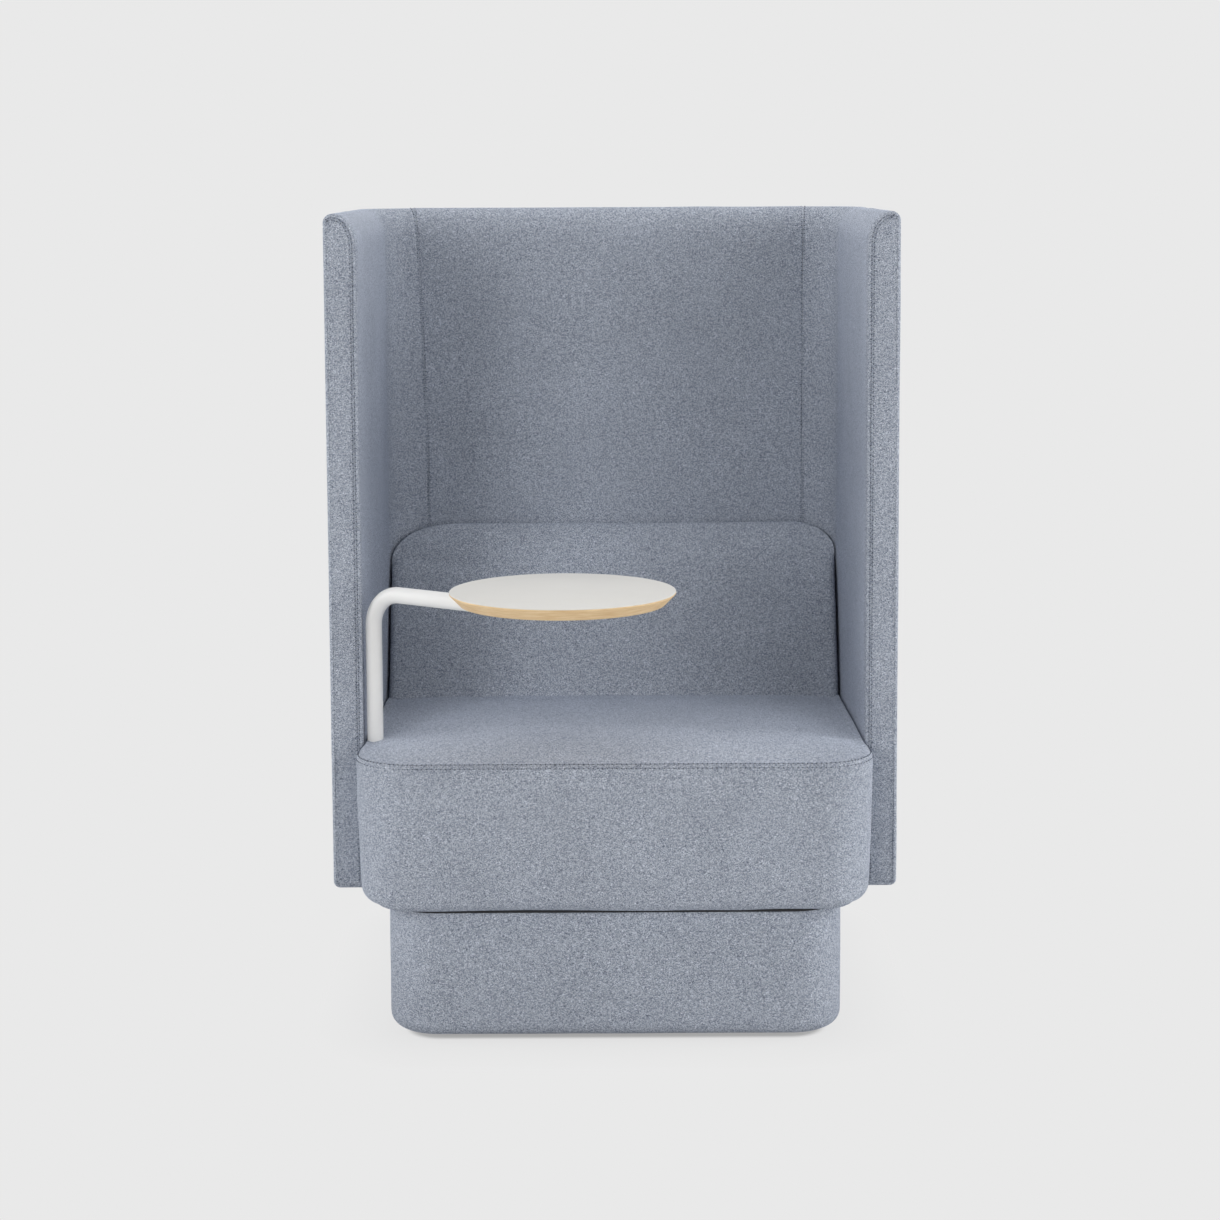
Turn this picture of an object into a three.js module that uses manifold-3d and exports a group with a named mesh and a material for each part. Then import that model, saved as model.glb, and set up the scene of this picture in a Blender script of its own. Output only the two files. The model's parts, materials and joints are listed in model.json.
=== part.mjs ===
// Acoustic high back lounge chair with a swivel writing tablet, in millimetres.
// Seen from the front, X runs to the right, Y to the back and Z up.
// The origin is on the floor, under the middle of the chair and its tablet.
// Inside this file Y starts at the front plane of the two wings, and the last group shifts it.

import * as THREE from 'three';
import { mergeVertices } from 'three/addons/utils/BufferGeometryUtils.js';
import Module from 'manifold-3d';

const wasm = await Module();
wasm.setup();

// Whole chair
const overallWidth = 870;
const overallHeight = 1245;
const fitGap = 0.3;
const cutOverrun = 6;
const fullTurn = Math.PI * 2;
const quarterTurn = Math.PI / 2;

// Upholstery
const coverThickness = 2.5;
const underCover = coverThickness + fitGap;

// Shell: two wings and a back around the seat
const shellWall = 50;
const shellDepth = 612;
const shellBottom = 207;
const shellCornerRadius = 60;
const topInnerRun = 36;
const topInnerDrop = 50;
const topOuterRadius = 14;
const topSeamDrop = 6;
const shellBottomRadius = 10;
const wingEdgeRadius = 8;
const shellBoard = 15;
const outerFoam = 8.5;
const boardTopSetback = 30;
const boardFrontSetback = 26;
const cornerSteps = 6;
const edgeSteps = 3;
const topSteps = 5;

// Seat block
const seatReach = 167;
const seatBottomHeight = 214.3;
const seatSeamHeight = 437;
const seatSideGap = 0.5;
const seatRearDrop = 25.5;
const seatSlopePower = 1.8;
const seatPuff = 12;
const seatRearPuff = 3;
const seatPuffPower = 6;
const seatFrontRadius = 85;
const seatBottomRadius = 25;
const seatTaper = 5;
const seatFrameInset = 37;
const seatFrontFoam = 62;
const seatRearFoam = 43;
const seatLip = 32;
const seatRailThickness = 22;
const seatRailShare = 0.5;
const strapThickness = 2;
const strapWidth = 60;
const strapEndSetback = 6;
const longStraps = 3;
const crossStraps = 2;
const seatRingShares = [1, 0.97, 0.92, 0.84, 0.7, 0.45, 0.2];
const seatEdgeDivisions = 5;

// Lumbar cushion
const lumbarDepthAtSeat = 157;
const lumbarLean = 0.417;
const lumbarRise = 266;
const lumbarRoundingDrop = 84;
const lumbarRoundingPower = 2.2;
const lumbarCornerRun = 95;
const lumbarCornerDrop = 52;
const lumbarEdgeRadius = 16;
const lumbarThinnest = 14;
const lumbarCrown = 10;
const lumbarCrownFade = 0.8;
const lumbarBottomSink = 10;
const lumbarBackGap = 1;
const lumbarBoard = 12;
const lumbarBoardSideSetback = 80;
const lumbarBoardFoot = 30;
const lumbarBoardTopSetback = 62;
const lumbarSideShares = [1, 0.99, 0.965, 0.93, 0.86, 0.74, 0.5, 0.2];
const lumbarFaceShares = [0, 0.25, 0.5, 0.75, 1];
const lumbarRoundShares = [0.35, 0.6, 0.8, 0.92, 0.98];

// Plinth
const plinthSideInset = 91;
const plinthFrontInset = 42;
const plinthRearInset = 52;
const plinthBottom = 10;
const plinthCornerRadius = 78;
const plinthBottomRadius = 22;
const plinthCover = 4;
const plinthLip = 5;
const plinthRail = 22;
const cornerBlockSide = 90;
const cornerBlockBore = 4;
const cornerBlockLap = 5;
const dustCoverThickness = 1;

// Levelling glides
const glideRadius = 20;
const glidePadHeight = 8;
const glideChamfer = 1.5;
const glideStemRadius = 5;
const glideStemLength = 36;
const insertWall = 1.7;
const insertLength = 20;
const insertTravelRoom = 4;
const dustHoleRadius = 8;
const roundSides = 20;

// Swivel arm and its socket
const postWingGap = 17;
const postY = 15;
const armTubeRadius = 12.5;
const armTubeWall = 2;
const armRise = 230;
const armBendRadius = 50;
const armReach = 356;
const armShortOfCentre = 26;
const armForwardAngle = 34.4 * Math.PI / 180;
const tubeSides = 16;
const bendSteps = 8;
const plugCap = 2.5;
const plugSpigot = 12;
const bushWall = 1.3;
const bushLength = 26;
const bushFlange = 2;
const bushFloor = 3;
const socketWall = 1.6;
const socketFloor = 4;
const socketRise = 48;
const socketSink = 11;
const socketSideRoom = 1.3;
const bracketThickness = 4;
const bracketWidth = 70;
const bracketFoot = 8;
const bracketWeld = 1.5;

// Tablet
const tabletRadius = 165;
const tabletBoard = 17;
const tabletLaminate = 1;
const tabletBevel = 15;
const tabletEdge = 1.5;
const tabletPlateRadius = 55;
const tabletPlate = 4;
const tabletWeld = 1;
const tabletSides = 64;
const tabletPlateSides = 32;
const screwCircle = 40;
const screwAngle = 50 * Math.PI / 180;
const screwRadius = 2.5;
const screwLength = 14;
const screwHeadRadius = 4.75;
const screwHeadHeight = 2.8;

// Places worked out from the sizes above
const outerHalf = overallWidth / 2;
const innerHalf = outerHalf - shellWall;
const innerDepth = shellDepth - shellWall;
const cornerStart = innerDepth - shellCornerRadius;
const backHalf = innerHalf - shellCornerRadius;
const boardOuter = shellWall - underCover - outerFoam - fitGap;
const boardInner = boardOuter - shellBoard;
const boardBottom = shellBottom + underCover;
const boardTop = overallHeight - boardTopSetback;
const topSeamHeight = overallHeight - topOuterRadius - topSeamDrop;

const seatHalf = innerHalf - seatSideGap;
const seatFrontY = -seatReach;
const seatRearY = innerDepth - seatSideGap;
const seatRearRadius = shellCornerRadius - seatSideGap;
const seatMiddleY = (seatFrontY + seatRearY) / 2;
const seatFrameHalf = seatHalf - seatFrameInset;
const seatFrameFront = seatFrontY + underCover + seatFrontFoam;
const seatFrameRear = seatRearY - underCover - seatRearFoam;
const seatFrameTop = seatBottomHeight + (seatSeamHeight - seatBottomHeight) * seatRailShare;
const seatFoamBottom = seatFrameTop + 2 * (strapThickness + fitGap) + fitGap;

const lumbarBackY = innerDepth - lumbarBackGap;
const lumbarHalf = seatHalf;
const lumbarTopHeight = seatSeamHeight + lumbarRise;
const lumbarFrontY = lumbarBackY - lumbarDepthAtSeat;

const plinthHalf = outerHalf - plinthSideInset;
const plinthFrontY = seatFrontY + plinthFrontInset;
const plinthRearY = shellDepth - plinthRearInset;
const plinthTop = seatBottomHeight - fitGap;
const plinthRailBottom = plinthBottom + plinthCover + fitGap;
const plinthRailInner = plinthCover + fitGap + plinthRail;
const glideInset = plinthRailInner + fitGap + cornerBlockSide / 2;

const postX = postWingGap - innerHalf;
const armAxisHeight = seatSeamHeight + armRise;
const tubeTop = armAxisHeight + armTubeRadius;
const plateTop = tubeTop - tabletWeld + tabletPlate;
const boardUnderside = plateTop + fitGap;
const boardUpperside = boardUnderside + tabletBoard;
const bushInner = armTubeRadius + fitGap;
const bushOuter = bushInner + bushWall;
const socketBottom = seatBottomHeight + socketRise;
const socketTop = seatSeamHeight - socketSink;
const socketInner = bushOuter + fitGap;
const socketOuter = socketInner + socketWall;
const lowerBushBottom = socketBottom + socketFloor + fitGap;
const postBottom = lowerBushBottom + bushFloor + fitGap;

// Materials
function surface(color, roughness, metalness = 0) {
  return new THREE.MeshStandardMaterial({ color, roughness, metalness });
}

const wool = surface('#7f8796', 0.95);
const foam = surface('#d9d2b8', 0.9);
const plywood = surface('#c9a878', 0.7);
const pine = surface('#d3b282', 0.75);
const webbing = surface('#3c3a38', 0.85);
const lining = surface('#26282b', 0.95);
const nylon = surface('#e6e4dd', 0.45);
const blackPlastic = surface('#26272a', 0.5);
const whiteSteel = surface('#eceeed', 0.4, 0.1);
const plainSteel = surface('#a7a9ab', 0.35, 0.9);
const laminate = surface('#e9e8e4', 0.45);
const beechEdge = surface('#d9b98a', 0.55);

// Points of an elliptical arc, from one angle to another
function arc([centreX, centreY], [radiusX, radiusY], from, to, steps) {
  return Array.from({ length: steps + 1 }, (_, step) => {
    const angle = from + (to - from) * step / steps;
    return [centreX + radiusX * Math.cos(angle), centreY + radiusY * Math.sin(angle)];
  });
}

// Triangles that close a ring, wound the way the ring runs
function capTriangles(ring) {
  const normal = new THREE.Vector3();
  ring.forEach((here, i) => {
    const next = ring[(i + 1) % ring.length];
    normal.x += (here.y - next.y) * (here.z + next.z);
    normal.y += (here.z - next.z) * (here.x + next.x);
    normal.z += (here.x - next.x) * (here.y + next.y);
  });
  normal.normalize();
  const steep = Math.abs(normal.z) > Math.SQRT1_2;
  const helper = steep ? new THREE.Vector3(1, 0, 0) : new THREE.Vector3(0, 0, 1);
  const across = new THREE.Vector3().crossVectors(helper, normal).normalize();
  const along = new THREE.Vector3().crossVectors(normal, across);
  const flat = ring.map((p) => new THREE.Vector2(p.dot(across), p.dot(along)));
  return THREE.ShapeUtils.triangulateShape(flat, []).map(([a, b, c]) => {
    const toB = flat[b].clone().sub(flat[a]);
    const toC = flat[c].clone().sub(flat[a]);
    return toB.cross(toC) > 0 ? [a, b, c] : [a, c, b];
  });
}

function signedVolume(points, index) {
  let sum = 0;
  for (let i = 0; i < index.length; i += 3) {
    const [a, b, c] = [points[index[i]], points[index[i + 1]], points[index[i + 2]]];
    sum += a.dot(new THREE.Vector3().crossVectors(b, c));
  }
  return sum;
}

// A closed body through rings of equally many points, capped at its ends or joined end to end
function loft(rings, endless = false) {
  const count = rings[0].length;
  const points = rings.flat();
  const index = [];
  const spans = endless ? rings.length : rings.length - 1;
  for (let i = 0; i < spans; i += 1) {
    const here = i * count;
    const next = ((i + 1) % rings.length) * count;
    for (let j = 0; j < count; j += 1) {
      const k = (j + 1) % count;
      index.push(here + j, here + k, next + k, here + j, next + k, next + j);
    }
  }
  if (!endless) {
    const last = (rings.length - 1) * count;
    capTriangles(rings[0]).forEach(([a, b, c]) => index.push(c, b, a));
    capTriangles(rings[rings.length - 1]).forEach((tri) => index.push(...tri.map((v) => last + v)));
  }
  if (signedVolume(points, index) < 0) index.reverse();
  const geometry = new THREE.BufferGeometry();
  const places = points.flatMap((p) => p.toArray());
  geometry.setAttribute('position', new THREE.Float32BufferAttribute(places, 3));
  geometry.setIndex(index);
  return geometry;
}

// Lathe profile as [radius, height] pairs, turned about the Z axis
function turned(profile, sides = roundSides) {
  const outline = profile.map(([r, z]) => new THREE.Vector2(r, z));
  return new THREE.LatheGeometry(outline, sides).rotateX(quarterTurn);
}

// A round bar along Z between two heights
function bar(radius, low, high, sides = roundSides) {
  return turned([[0, low], [radius, low], [radius, high], [0, high]], sides);
}

function block([x0, x1], [y0, y1], [z0, z1]) {
  const box = new THREE.BoxGeometry(x1 - x0, y1 - y0, z1 - z0);
  return box.translate((x0 + x1) / 2, (y0 + y1) / 2, (z0 + z1) / 2);
}

// Geometry to a solid for cutting and joining, and back
function solid(geometry) {
  const bare = geometry.clone();
  bare.deleteAttribute('normal');
  bare.deleteAttribute('uv');
  const merged = mergeVertices(bare);
  return new wasm.Manifold(new wasm.Mesh({
    numProp: 3,
    vertProperties: new Float32Array(merged.attributes.position.array),
    triVerts: new Uint32Array(merged.index.array),
  }));
}

function fromSolid(body) {
  const { vertProperties, triVerts } = body.getMesh();
  const geometry = new THREE.BufferGeometry();
  geometry.setAttribute('position', new THREE.BufferAttribute(vertProperties, 3));
  geometry.setIndex(new THREE.BufferAttribute(triVerts, 1));
  return geometry;
}

function cut(base, ...tools) {
  return fromSolid(tools.reduce((body, tool) => body.subtract(solid(tool)), solid(base)));
}

function join(base, ...others) {
  return fromSolid(others.reduce((body, other) => body.add(solid(other)), solid(base)));
}

function piece(name, geometry, material) {
  const mesh = new THREE.Mesh(geometry, material);
  mesh.name = name;
  return mesh;
}

const sideNames = { [-1]: 'left', 1: 'right' };
const bothSides = [-1, 1];

// Shell wall
// A station is a place on the shell's inner face in plan, with the way out through the wall.
// A wall outline gives [u, z] pairs, where u runs from the inner face to the outer one.
const wingStation = (side, y) => ({ x: side * innerHalf, y, outX: side, outY: 0 });
const backStation = (x) => ({ x, y: innerDepth, outX: 0, outY: 1 });

function cornerStation(side, turn) {
  const outX = side * Math.cos(turn);
  const outY = Math.sin(turn);
  const x = side * backHalf + shellCornerRadius * outX;
  return { x, y: cornerStart + shellCornerRadius * outY, outX, outY };
}

// Equal shares of a quarter turn, both ends included
const cornerTurns = Array.from({ length: cornerSteps + 1 }, (_, i) => quarterTurn * i / cornerSteps);

const cornerStations = (side) => cornerTurns.map((turn) => cornerStation(side, turn));

function wallRing({ x, y, outX, outY }, outline) {
  return outline.map(([u, z]) => new THREE.Vector3(x + outX * u, y + outY * u, z));
}

// Up the inner face, over the rounded top and down to the seam on the outer face
function innerSpan(inset, foot, seam) {
  const innerArc = arc([topInnerRun, overallHeight - topInnerDrop],
    [topInnerRun - inset, topInnerDrop - inset], Math.PI, quarterTurn, topSteps);
  const outerArc = arc([shellWall - topOuterRadius, overallHeight - topOuterRadius],
    [topOuterRadius - inset, topOuterRadius - inset], quarterTurn, 0, edgeSteps);
  return [[inset, foot], ...innerArc, ...outerArc, [shellWall - inset, seam]];
}

// From the seam down the outer face, round the bottom edge and across to the inner face
function outerSpan(inset, seam, end) {
  const bottomArc = arc([shellWall - shellBottomRadius, shellBottom + shellBottomRadius],
    [shellBottomRadius - inset, shellBottomRadius - inset], 0, -quarterTurn, edgeSteps);
  return [[shellWall - inset, seam], ...bottomArc, [end, shellBottom + inset]];
}

function wallOutline(inset) {
  const overTop = innerSpan(inset, shellBottom + inset, topSeamHeight);
  return [...overTop, ...outerSpan(inset, topSeamHeight, inset).slice(1, -1)];
}

function boardOutline(grow, low = boardBottom) {
  return [
    [boardInner - grow, low],
    [boardOuter + grow, low],
    [boardOuter + grow, boardTop + grow],
    [boardInner - grow, boardTop + grow],
  ];
}

// The rounded front end of a wing, from its front plane back to a given depth
function wingEndRings(side, inset, depth) {
  const rings = [];
  for (let step = 0; step <= edgeSteps; step += 1) {
    const angle = quarterTurn * (1 - step / edgeSteps);
    const radius = wingEdgeRadius - inset;
    const y = wingEdgeRadius - radius * Math.sin(angle);
    rings.push(wallRing(wingStation(side, y), wallOutline(wingEdgeRadius - radius * Math.cos(angle))));
  }
  rings.push(wallRing(wingStation(side, depth), wallOutline(inset)));
  return rings;
}

function shellPanel(stations, outside, inside) {
  const outline = [...outside, ...[...inside].reverse()];
  return loft(stations.map((station) => wallRing(station, outline)));
}

function innerPanel(stations) {
  const foot = shellBottom + underCover;
  const seam = topSeamHeight + fitGap;
  return shellPanel(stations, innerSpan(0, foot, seam), innerSpan(coverThickness, foot, seam));
}

function outerPanel(stations) {
  return shellPanel(stations, outerSpan(0, topSeamHeight, 0), outerSpan(coverThickness, topSeamHeight, 0));
}

function sidePanelStations(side) {
  return [wingStation(side, wingEdgeRadius + fitGap), ...cornerStations(side)];
}

function backPanelStations() {
  return [backStation(-backHalf + fitGap), backStation(0), backStation(backHalf - fitGap)];
}

function frontStrip(side) {
  const outside = loft(wingEndRings(side, 0, wingEdgeRadius + fitGap / 2));
  const inside = loft(wingEndRings(side, coverThickness, wingEdgeRadius + cutOverrun));
  return cut(outside, inside);
}

function wingBoard(side, grow = 0, reach = 0) {
  const [near, far] = [boardFrontSetback - grow, cornerStart - fitGap + reach];
  const outline = boardOutline(grow, boardBottom - reach);
  return loft([near, far].map((y) => wallRing(wingStation(side, y), outline)));
}

function wingFoam(side) {
  const body = loft(wingEndRings(side, underCover, cornerStart - fitGap));
  return cut(body, wingBoard(side, fitGap, cutOverrun));
}

function backStations(reach = 0) {
  const lead = (side) => (reach ? [wingStation(side, cornerStart - reach)] : []);
  return [...lead(-1), ...cornerStations(-1), ...cornerStations(1).reverse(), ...lead(1)];
}

function backFoam() {
  const body = loft(backStations().map((station) => wallRing(station, wallOutline(underCover))));
  const slotOutline = boardOutline(fitGap, boardBottom - cutOverrun);
  return cut(body, loft(backStations(cutOverrun).map((station) => wallRing(station, slotOutline))));
}

function shellPieces() {
  const pieces = bothSides.flatMap((side) => {
    const name = sideNames[side];
    const cornerBoard = loft(cornerStations(side).map((station) => wallRing(station, boardOutline(0))));
    return [
      piece(`wing_board_${name}`, wingBoard(side), plywood),
      piece(`corner_board_${name}`, cornerBoard, plywood),
      piece(`wing_foam_${name}`, wingFoam(side), foam),
      piece(`inner_cover_${name}`, innerPanel(sidePanelStations(side)), wool),
      piece(`outer_cover_${name}`, outerPanel(sidePanelStations(side)), wool),
      piece(`front_strip_${name}`, frontStrip(side), wool),
    ];
  });
  const backBoardStations = [backStation(-backHalf + fitGap), backStation(backHalf - fitGap)];
  const backBoard = loft(backBoardStations.map((station) => wallRing(station, boardOutline(0))));
  return [
    ...pieces,
    piece('back_board', backBoard, plywood),
    piece('back_foam', backFoam(), foam),
    piece('inner_cover_back', innerPanel(backPanelStations()), wool),
    piece('outer_cover_back', outerPanel(backPanelStations()), wool),
  ];
}

// Seat block
// Its plan is a rectangle with large front corners, and its top is a crown that slopes to the rear.
function straight([x0, y0], [x1, y1], divisions) {
  return Array.from({ length: divisions - 1 }, (_, i) => {
    const share = (i + 1) / divisions;
    return [x0 + (x1 - x0) * share, y0 + (y1 - y0) * share];
  });
}

function seatOutline(inset) {
  const [front, rear] = [seatFrontRadius - inset, seatRearRadius - inset];
  const frontCentre = [seatHalf - seatFrontRadius, seatFrontY + seatFrontRadius];
  const rearCentre = [seatHalf - seatRearRadius, seatRearY - seatRearRadius];
  const corner = (centre, radius, start, side) => {
    const quarter = arc(centre, [radius, radius], start, start + quarterTurn, cornerSteps);
    return side > 0 ? quarter : quarter.reverse().map(([px, py]) => [-px, py]);
  };
  const corners = [
    corner(frontCentre, front, -quarterTurn, 1),
    corner(rearCentre, rear, 0, 1),
    corner(rearCentre, rear, 0, -1),
    corner(frontCentre, front, -quarterTurn, -1),
  ];
  return corners.flatMap((points, i) => {
    const next = corners[(i + 1) % corners.length];
    return [...points, ...straight(points[points.length - 1], next[0], seatEdgeDivisions)];
  });
}

function seatSeamZ(y) {
  const share = Math.max(0, (y - seatFrontY) / (seatRearY - seatFrontY));
  return seatSeamHeight - seatRearDrop * share ** seatSlopePower;
}

function seatPuffAt(y) {
  const share = THREE.MathUtils.smoothstep(y, 0, lumbarFrontY);
  return seatPuff + (seatRearPuff - seatPuff) * share;
}

// A ring of the crowned top, drawn in to a share of the seat's outline
function seatTopRing(outline, share, inset) {
  return outline.map(([px, py]) => {
    const y = seatMiddleY + (py - seatMiddleY) * share;
    const z = seatSeamZ(y) + seatPuffAt(y) * (1 - share ** seatPuffPower) - inset;
    return new THREE.Vector3(px * share, y, z);
  });
}

// The side face as [u, rise] pairs: u is set in from the outline, rise is a share of the way to the seam
function seatSideRings(inset, topDrop) {
  const arcPoints = arc([seatTaper + seatBottomRadius, seatBottomHeight + seatBottomRadius],
    [seatBottomRadius - inset, seatBottomRadius - inset], -quarterTurn, -Math.PI, edgeSteps);
  const rings = arcPoints.map(([u, z]) => seatOutline(u).map(([x, y]) => new THREE.Vector3(x, y, z)));
  const foot = seatBottomHeight + seatBottomRadius;
  for (let step = 1; step <= edgeSteps; step += 1) {
    const share = step / edgeSteps;
    const u = inset + seatTaper * (1 - share) ** 2;
    rings.push(seatOutline(u).map(([x, y]) => {
      const z = foot + (seatSeamZ(y) - topDrop - foot) * share;
      return new THREE.Vector3(x, y, z);
    }));
  }
  return rings;
}

function seatForm(inset) {
  const plain = seatOutline(0);
  const topRings = seatRingShares.slice(1).map((share) => seatTopRing(plain, share, inset));
  return loft([...seatSideRings(inset, inset), ...topRings]);
}

function seatCoverTop() {
  const outline = seatOutline(0);
  const upper = seatRingShares.map((share) => seatTopRing(outline, share, 0));
  const lower = seatRingShares.map((share) => seatTopRing(outline, share, coverThickness));
  return cut(loft([...upper.reverse(), ...lower]), socketNotch());
}

function seatCoverBand() {
  const lip = (z) => seatOutline(seatLip).map(([x, y]) => new THREE.Vector3(x, y, z));
  const outside = [lip(seatBottomHeight), ...seatSideRings(0, underCover)];
  const inside = [lip(seatBottomHeight + coverThickness), ...seatSideRings(coverThickness, underCover)];
  const loops = [...outside, ...inside.reverse()];
  const sections = loops[0].map((_, i) => loops.map((ring) => ring[i]));
  return cut(loft(sections, true), socketNotch());
}

// Room for the socket, its tube and its bracket at the left edge of the seat
function socketNotch() {
  const radius = socketOuter + socketSideRoom;
  const low = socketBottom - bracketThickness;
  return bar(radius, low, seatSeamHeight + seatPuff + cutOverrun).translate(postX, postY, 0);
}

function bracketRoom() {
  const half = bracketWidth / 2 + socketSideRoom;
  const outerX = postX + socketInner;
  return block([outerX - fitGap, -seatFrameHalf + cutOverrun], [postY - half, postY + half],
    [seatBottomHeight - cutOverrun, seatFrameTop]);
}

function seatFoam() {
  const frameRoom = block([-seatFrameHalf - fitGap, seatFrameHalf + fitGap],
    [seatFrameFront - fitGap, seatFrameRear + fitGap], [seatBottomHeight - cutOverrun, seatFoamBottom]);
  return cut(seatForm(underCover), frameRoom, bracketRoom(), socketNotch());
}

function seatRails() {
  const heights = [seatBottomHeight, seatFrameTop];
  const frontInner = seatFrameFront + seatRailThickness;
  const rearInner = seatFrameRear - seatRailThickness;
  const full = [-seatFrameHalf, seatFrameHalf];
  const sideRails = bothSides.map((side) => {
    const ends = [side * seatFrameHalf, side * (seatFrameHalf - seatRailThickness)].sort((a, b) => a - b);
    const run = [frontInner + fitGap, rearInner - fitGap];
    return piece(`seat_${sideNames[side]}_rail`, block(ends, run, heights), pine);
  });
  return [
    piece('seat_front_rail', block(full, [seatFrameFront, frontInner], heights), pine),
    piece('seat_rear_rail', block(full, [rearInner, seatFrameRear], heights), pine),
    ...sideRails,
  ];
}

// Elastic straps: the long ones lie on the rails, and the cross ones lie on the long ones
function seatStraps() {
  const span = (low, high, count, i) => {
    const middle = low + (high - low) * (i + 1) / (count + 1);
    return [middle - strapWidth / 2, middle + strapWidth / 2];
  };
  const lowLayer = seatFrameTop + fitGap;
  const highLayer = lowLayer + strapThickness + fitGap;
  const alongY = [seatFrameFront + strapEndSetback, seatFrameRear - strapEndSetback];
  const acrossX = [-seatFrameHalf + strapEndSetback, seatFrameHalf - strapEndSetback];
  const long = Array.from({ length: longStraps }, (_, i) => {
    const acrossStrap = span(-seatFrameHalf, seatFrameHalf, longStraps, i);
    return block(acrossStrap, alongY, [lowLayer, lowLayer + strapThickness]);
  });
  const cross = Array.from({ length: crossStraps }, (_, i) => {
    const acrossStrap = span(seatFrameFront, seatFrameRear, crossStraps, i);
    return block(acrossX, acrossStrap, [highLayer, highLayer + strapThickness]);
  });
  return [
    ...long.map((strap, i) => piece(`seat_webbing_long_${i + 1}`, strap, webbing)),
    ...cross.map((strap, i) => piece(`seat_webbing_cross_${i + 1}`, strap, webbing)),
  ];
}

function seatPieces() {
  return [
    ...seatRails(),
    ...seatStraps(),
    piece('seat_foam', seatFoam(), foam),
    piece('seat_cover_band', seatCoverBand(), wool),
    piece('seat_cover_top', seatCoverTop(), wool),
  ];
}

// Lumbar cushion: a wedge that leans back, with a rounded top and rounded top corners
// Its back follows the inside of the shell, round the corners too.
function lumbarBack(x) {
  const past = Math.max(0, Math.abs(x) - backHalf);
  return cornerStart + Math.sqrt(Math.max(0, (shellCornerRadius - lumbarBackGap) ** 2 - past ** 2));
}

function lumbarRing(x, inset, reach) {
  const edge = lumbarHalf - Math.abs(x);
  const cornerShare = Math.max(0, 1 - edge / lumbarCornerRun);
  const edgeShare = Math.max(0, 1 - edge / lumbarEdgeRadius);
  const top = lumbarTopHeight - lumbarCornerDrop * (1 - Math.sqrt(1 - cornerShare ** 2)) - inset;
  const edgePull = lumbarEdgeRadius * (1 - Math.sqrt(1 - edgeShare ** 2));
  const low = seatSeamZ(seatRearY) - lumbarBottomSink;
  const roundStart = top - lumbarRoundingDrop;
  const crown = lumbarCrown * (1 - lumbarCrownFade * (x / lumbarHalf) ** 2);
  const wall = lumbarBackY - lumbarBack(x);
  const faceDepth = (z, bulge) => {
    const plain = lumbarDepthAtSeat - lumbarLean * (z - seatSeamZ(lumbarFrontY));
    return Math.max(plain + bulge - edgePull, wall + lumbarThinnest) - inset;
  };
  const face = lumbarFaceShares.map((share) => {
    const z = low + (roundStart - low) * share;
    return [faceDepth(z, crown * Math.sin(quarterTurn * share)), z];
  });
  const roundOver = lumbarRoundShares.map((share) => {
    const z = roundStart + lumbarRoundingDrop * share;
    return [wall + (faceDepth(z, crown) - wall) * Math.sqrt(1 - share ** lumbarRoundingPower), z];
  });
  const tail = reach ? [[wall - reach, top], [wall - reach, low]] : [[wall, low]];
  const outline = [...face, ...roundOver, [wall, top], ...tail];
  return outline.map(([depth, z]) => new THREE.Vector3(x, lumbarBackY - depth, z));
}

function lumbarForm(inset, reach) {
  const half = lumbarHalf - inset;
  const leftPlaces = lumbarSideShares.map((share) => -half * share);
  const rightPlaces = leftPlaces.map((x) => -x).reverse();
  return loft([...leftPlaces, 0, ...rightPlaces].map((x) => lumbarRing(x, inset, reach)));
}

function lumbarBoardBlock(grow, reach) {
  const half = lumbarHalf - lumbarBoardSideSetback + grow;
  const low = seatSeamZ(lumbarFrontY) + lumbarBoardFoot - grow;
  const high = lumbarTopHeight - lumbarBoardTopSetback + grow;
  return block([-half, half], [lumbarBackY - lumbarBoard - grow, lumbarBackY + reach], [low, high]);
}

function lumbarPieces() {
  const seatRoom = seatForm(-fitGap);
  const cover = cut(lumbarForm(0, 0), seatRoom, lumbarForm(coverThickness, cutOverrun));
  const core = cut(lumbarForm(underCover, 0), seatRoom, lumbarBoardBlock(fitGap, cutOverrun));
  return [
    piece('lumbar_board', lumbarBoardBlock(0, 0), plywood),
    piece('lumbar_foam', core, foam),
    piece('lumbar_cover', cover, wool),
  ];
}

// Plinth
// A skin outline gives [u, z] pairs down the outer face and round the bottom edge, u being set in.
function plinthSkin(inset, end) {
  const bottomArc = arc([plinthBottomRadius, plinthBottom + plinthBottomRadius],
    [inset - plinthBottomRadius, plinthBottomRadius - inset], 0, -quarterTurn, edgeSteps);
  return [[inset, plinthTop], ...bottomArc, [end, plinthBottom + inset]];
}

function plinthCornerStation(sideX, sideY, turn) {
  const middleY = sideY < 0 ? plinthFrontY + plinthCornerRadius : plinthRearY - plinthCornerRadius;
  return {
    x: sideX * (plinthHalf - plinthCornerRadius),
    y: middleY,
    outX: sideX * Math.cos(turn),
    outY: sideY * Math.sin(turn),
  };
}

function plinthCornerStations(sideX, sideY) {
  return cornerTurns.map((turn) => plinthCornerStation(sideX, sideY, turn));
}

function plinthAround() {
  return [
    ...plinthCornerStations(1, -1).reverse(),
    ...plinthCornerStations(1, 1),
    ...plinthCornerStations(-1, 1).reverse(),
    ...plinthCornerStations(-1, -1),
  ];
}

function plinthRing({ x, y, outX, outY }, outline) {
  return outline.map(([u, z]) => {
    const reach = plinthCornerRadius - u;
    return new THREE.Vector3(x + outX * reach, y + outY * reach, z);
  });
}

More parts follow.
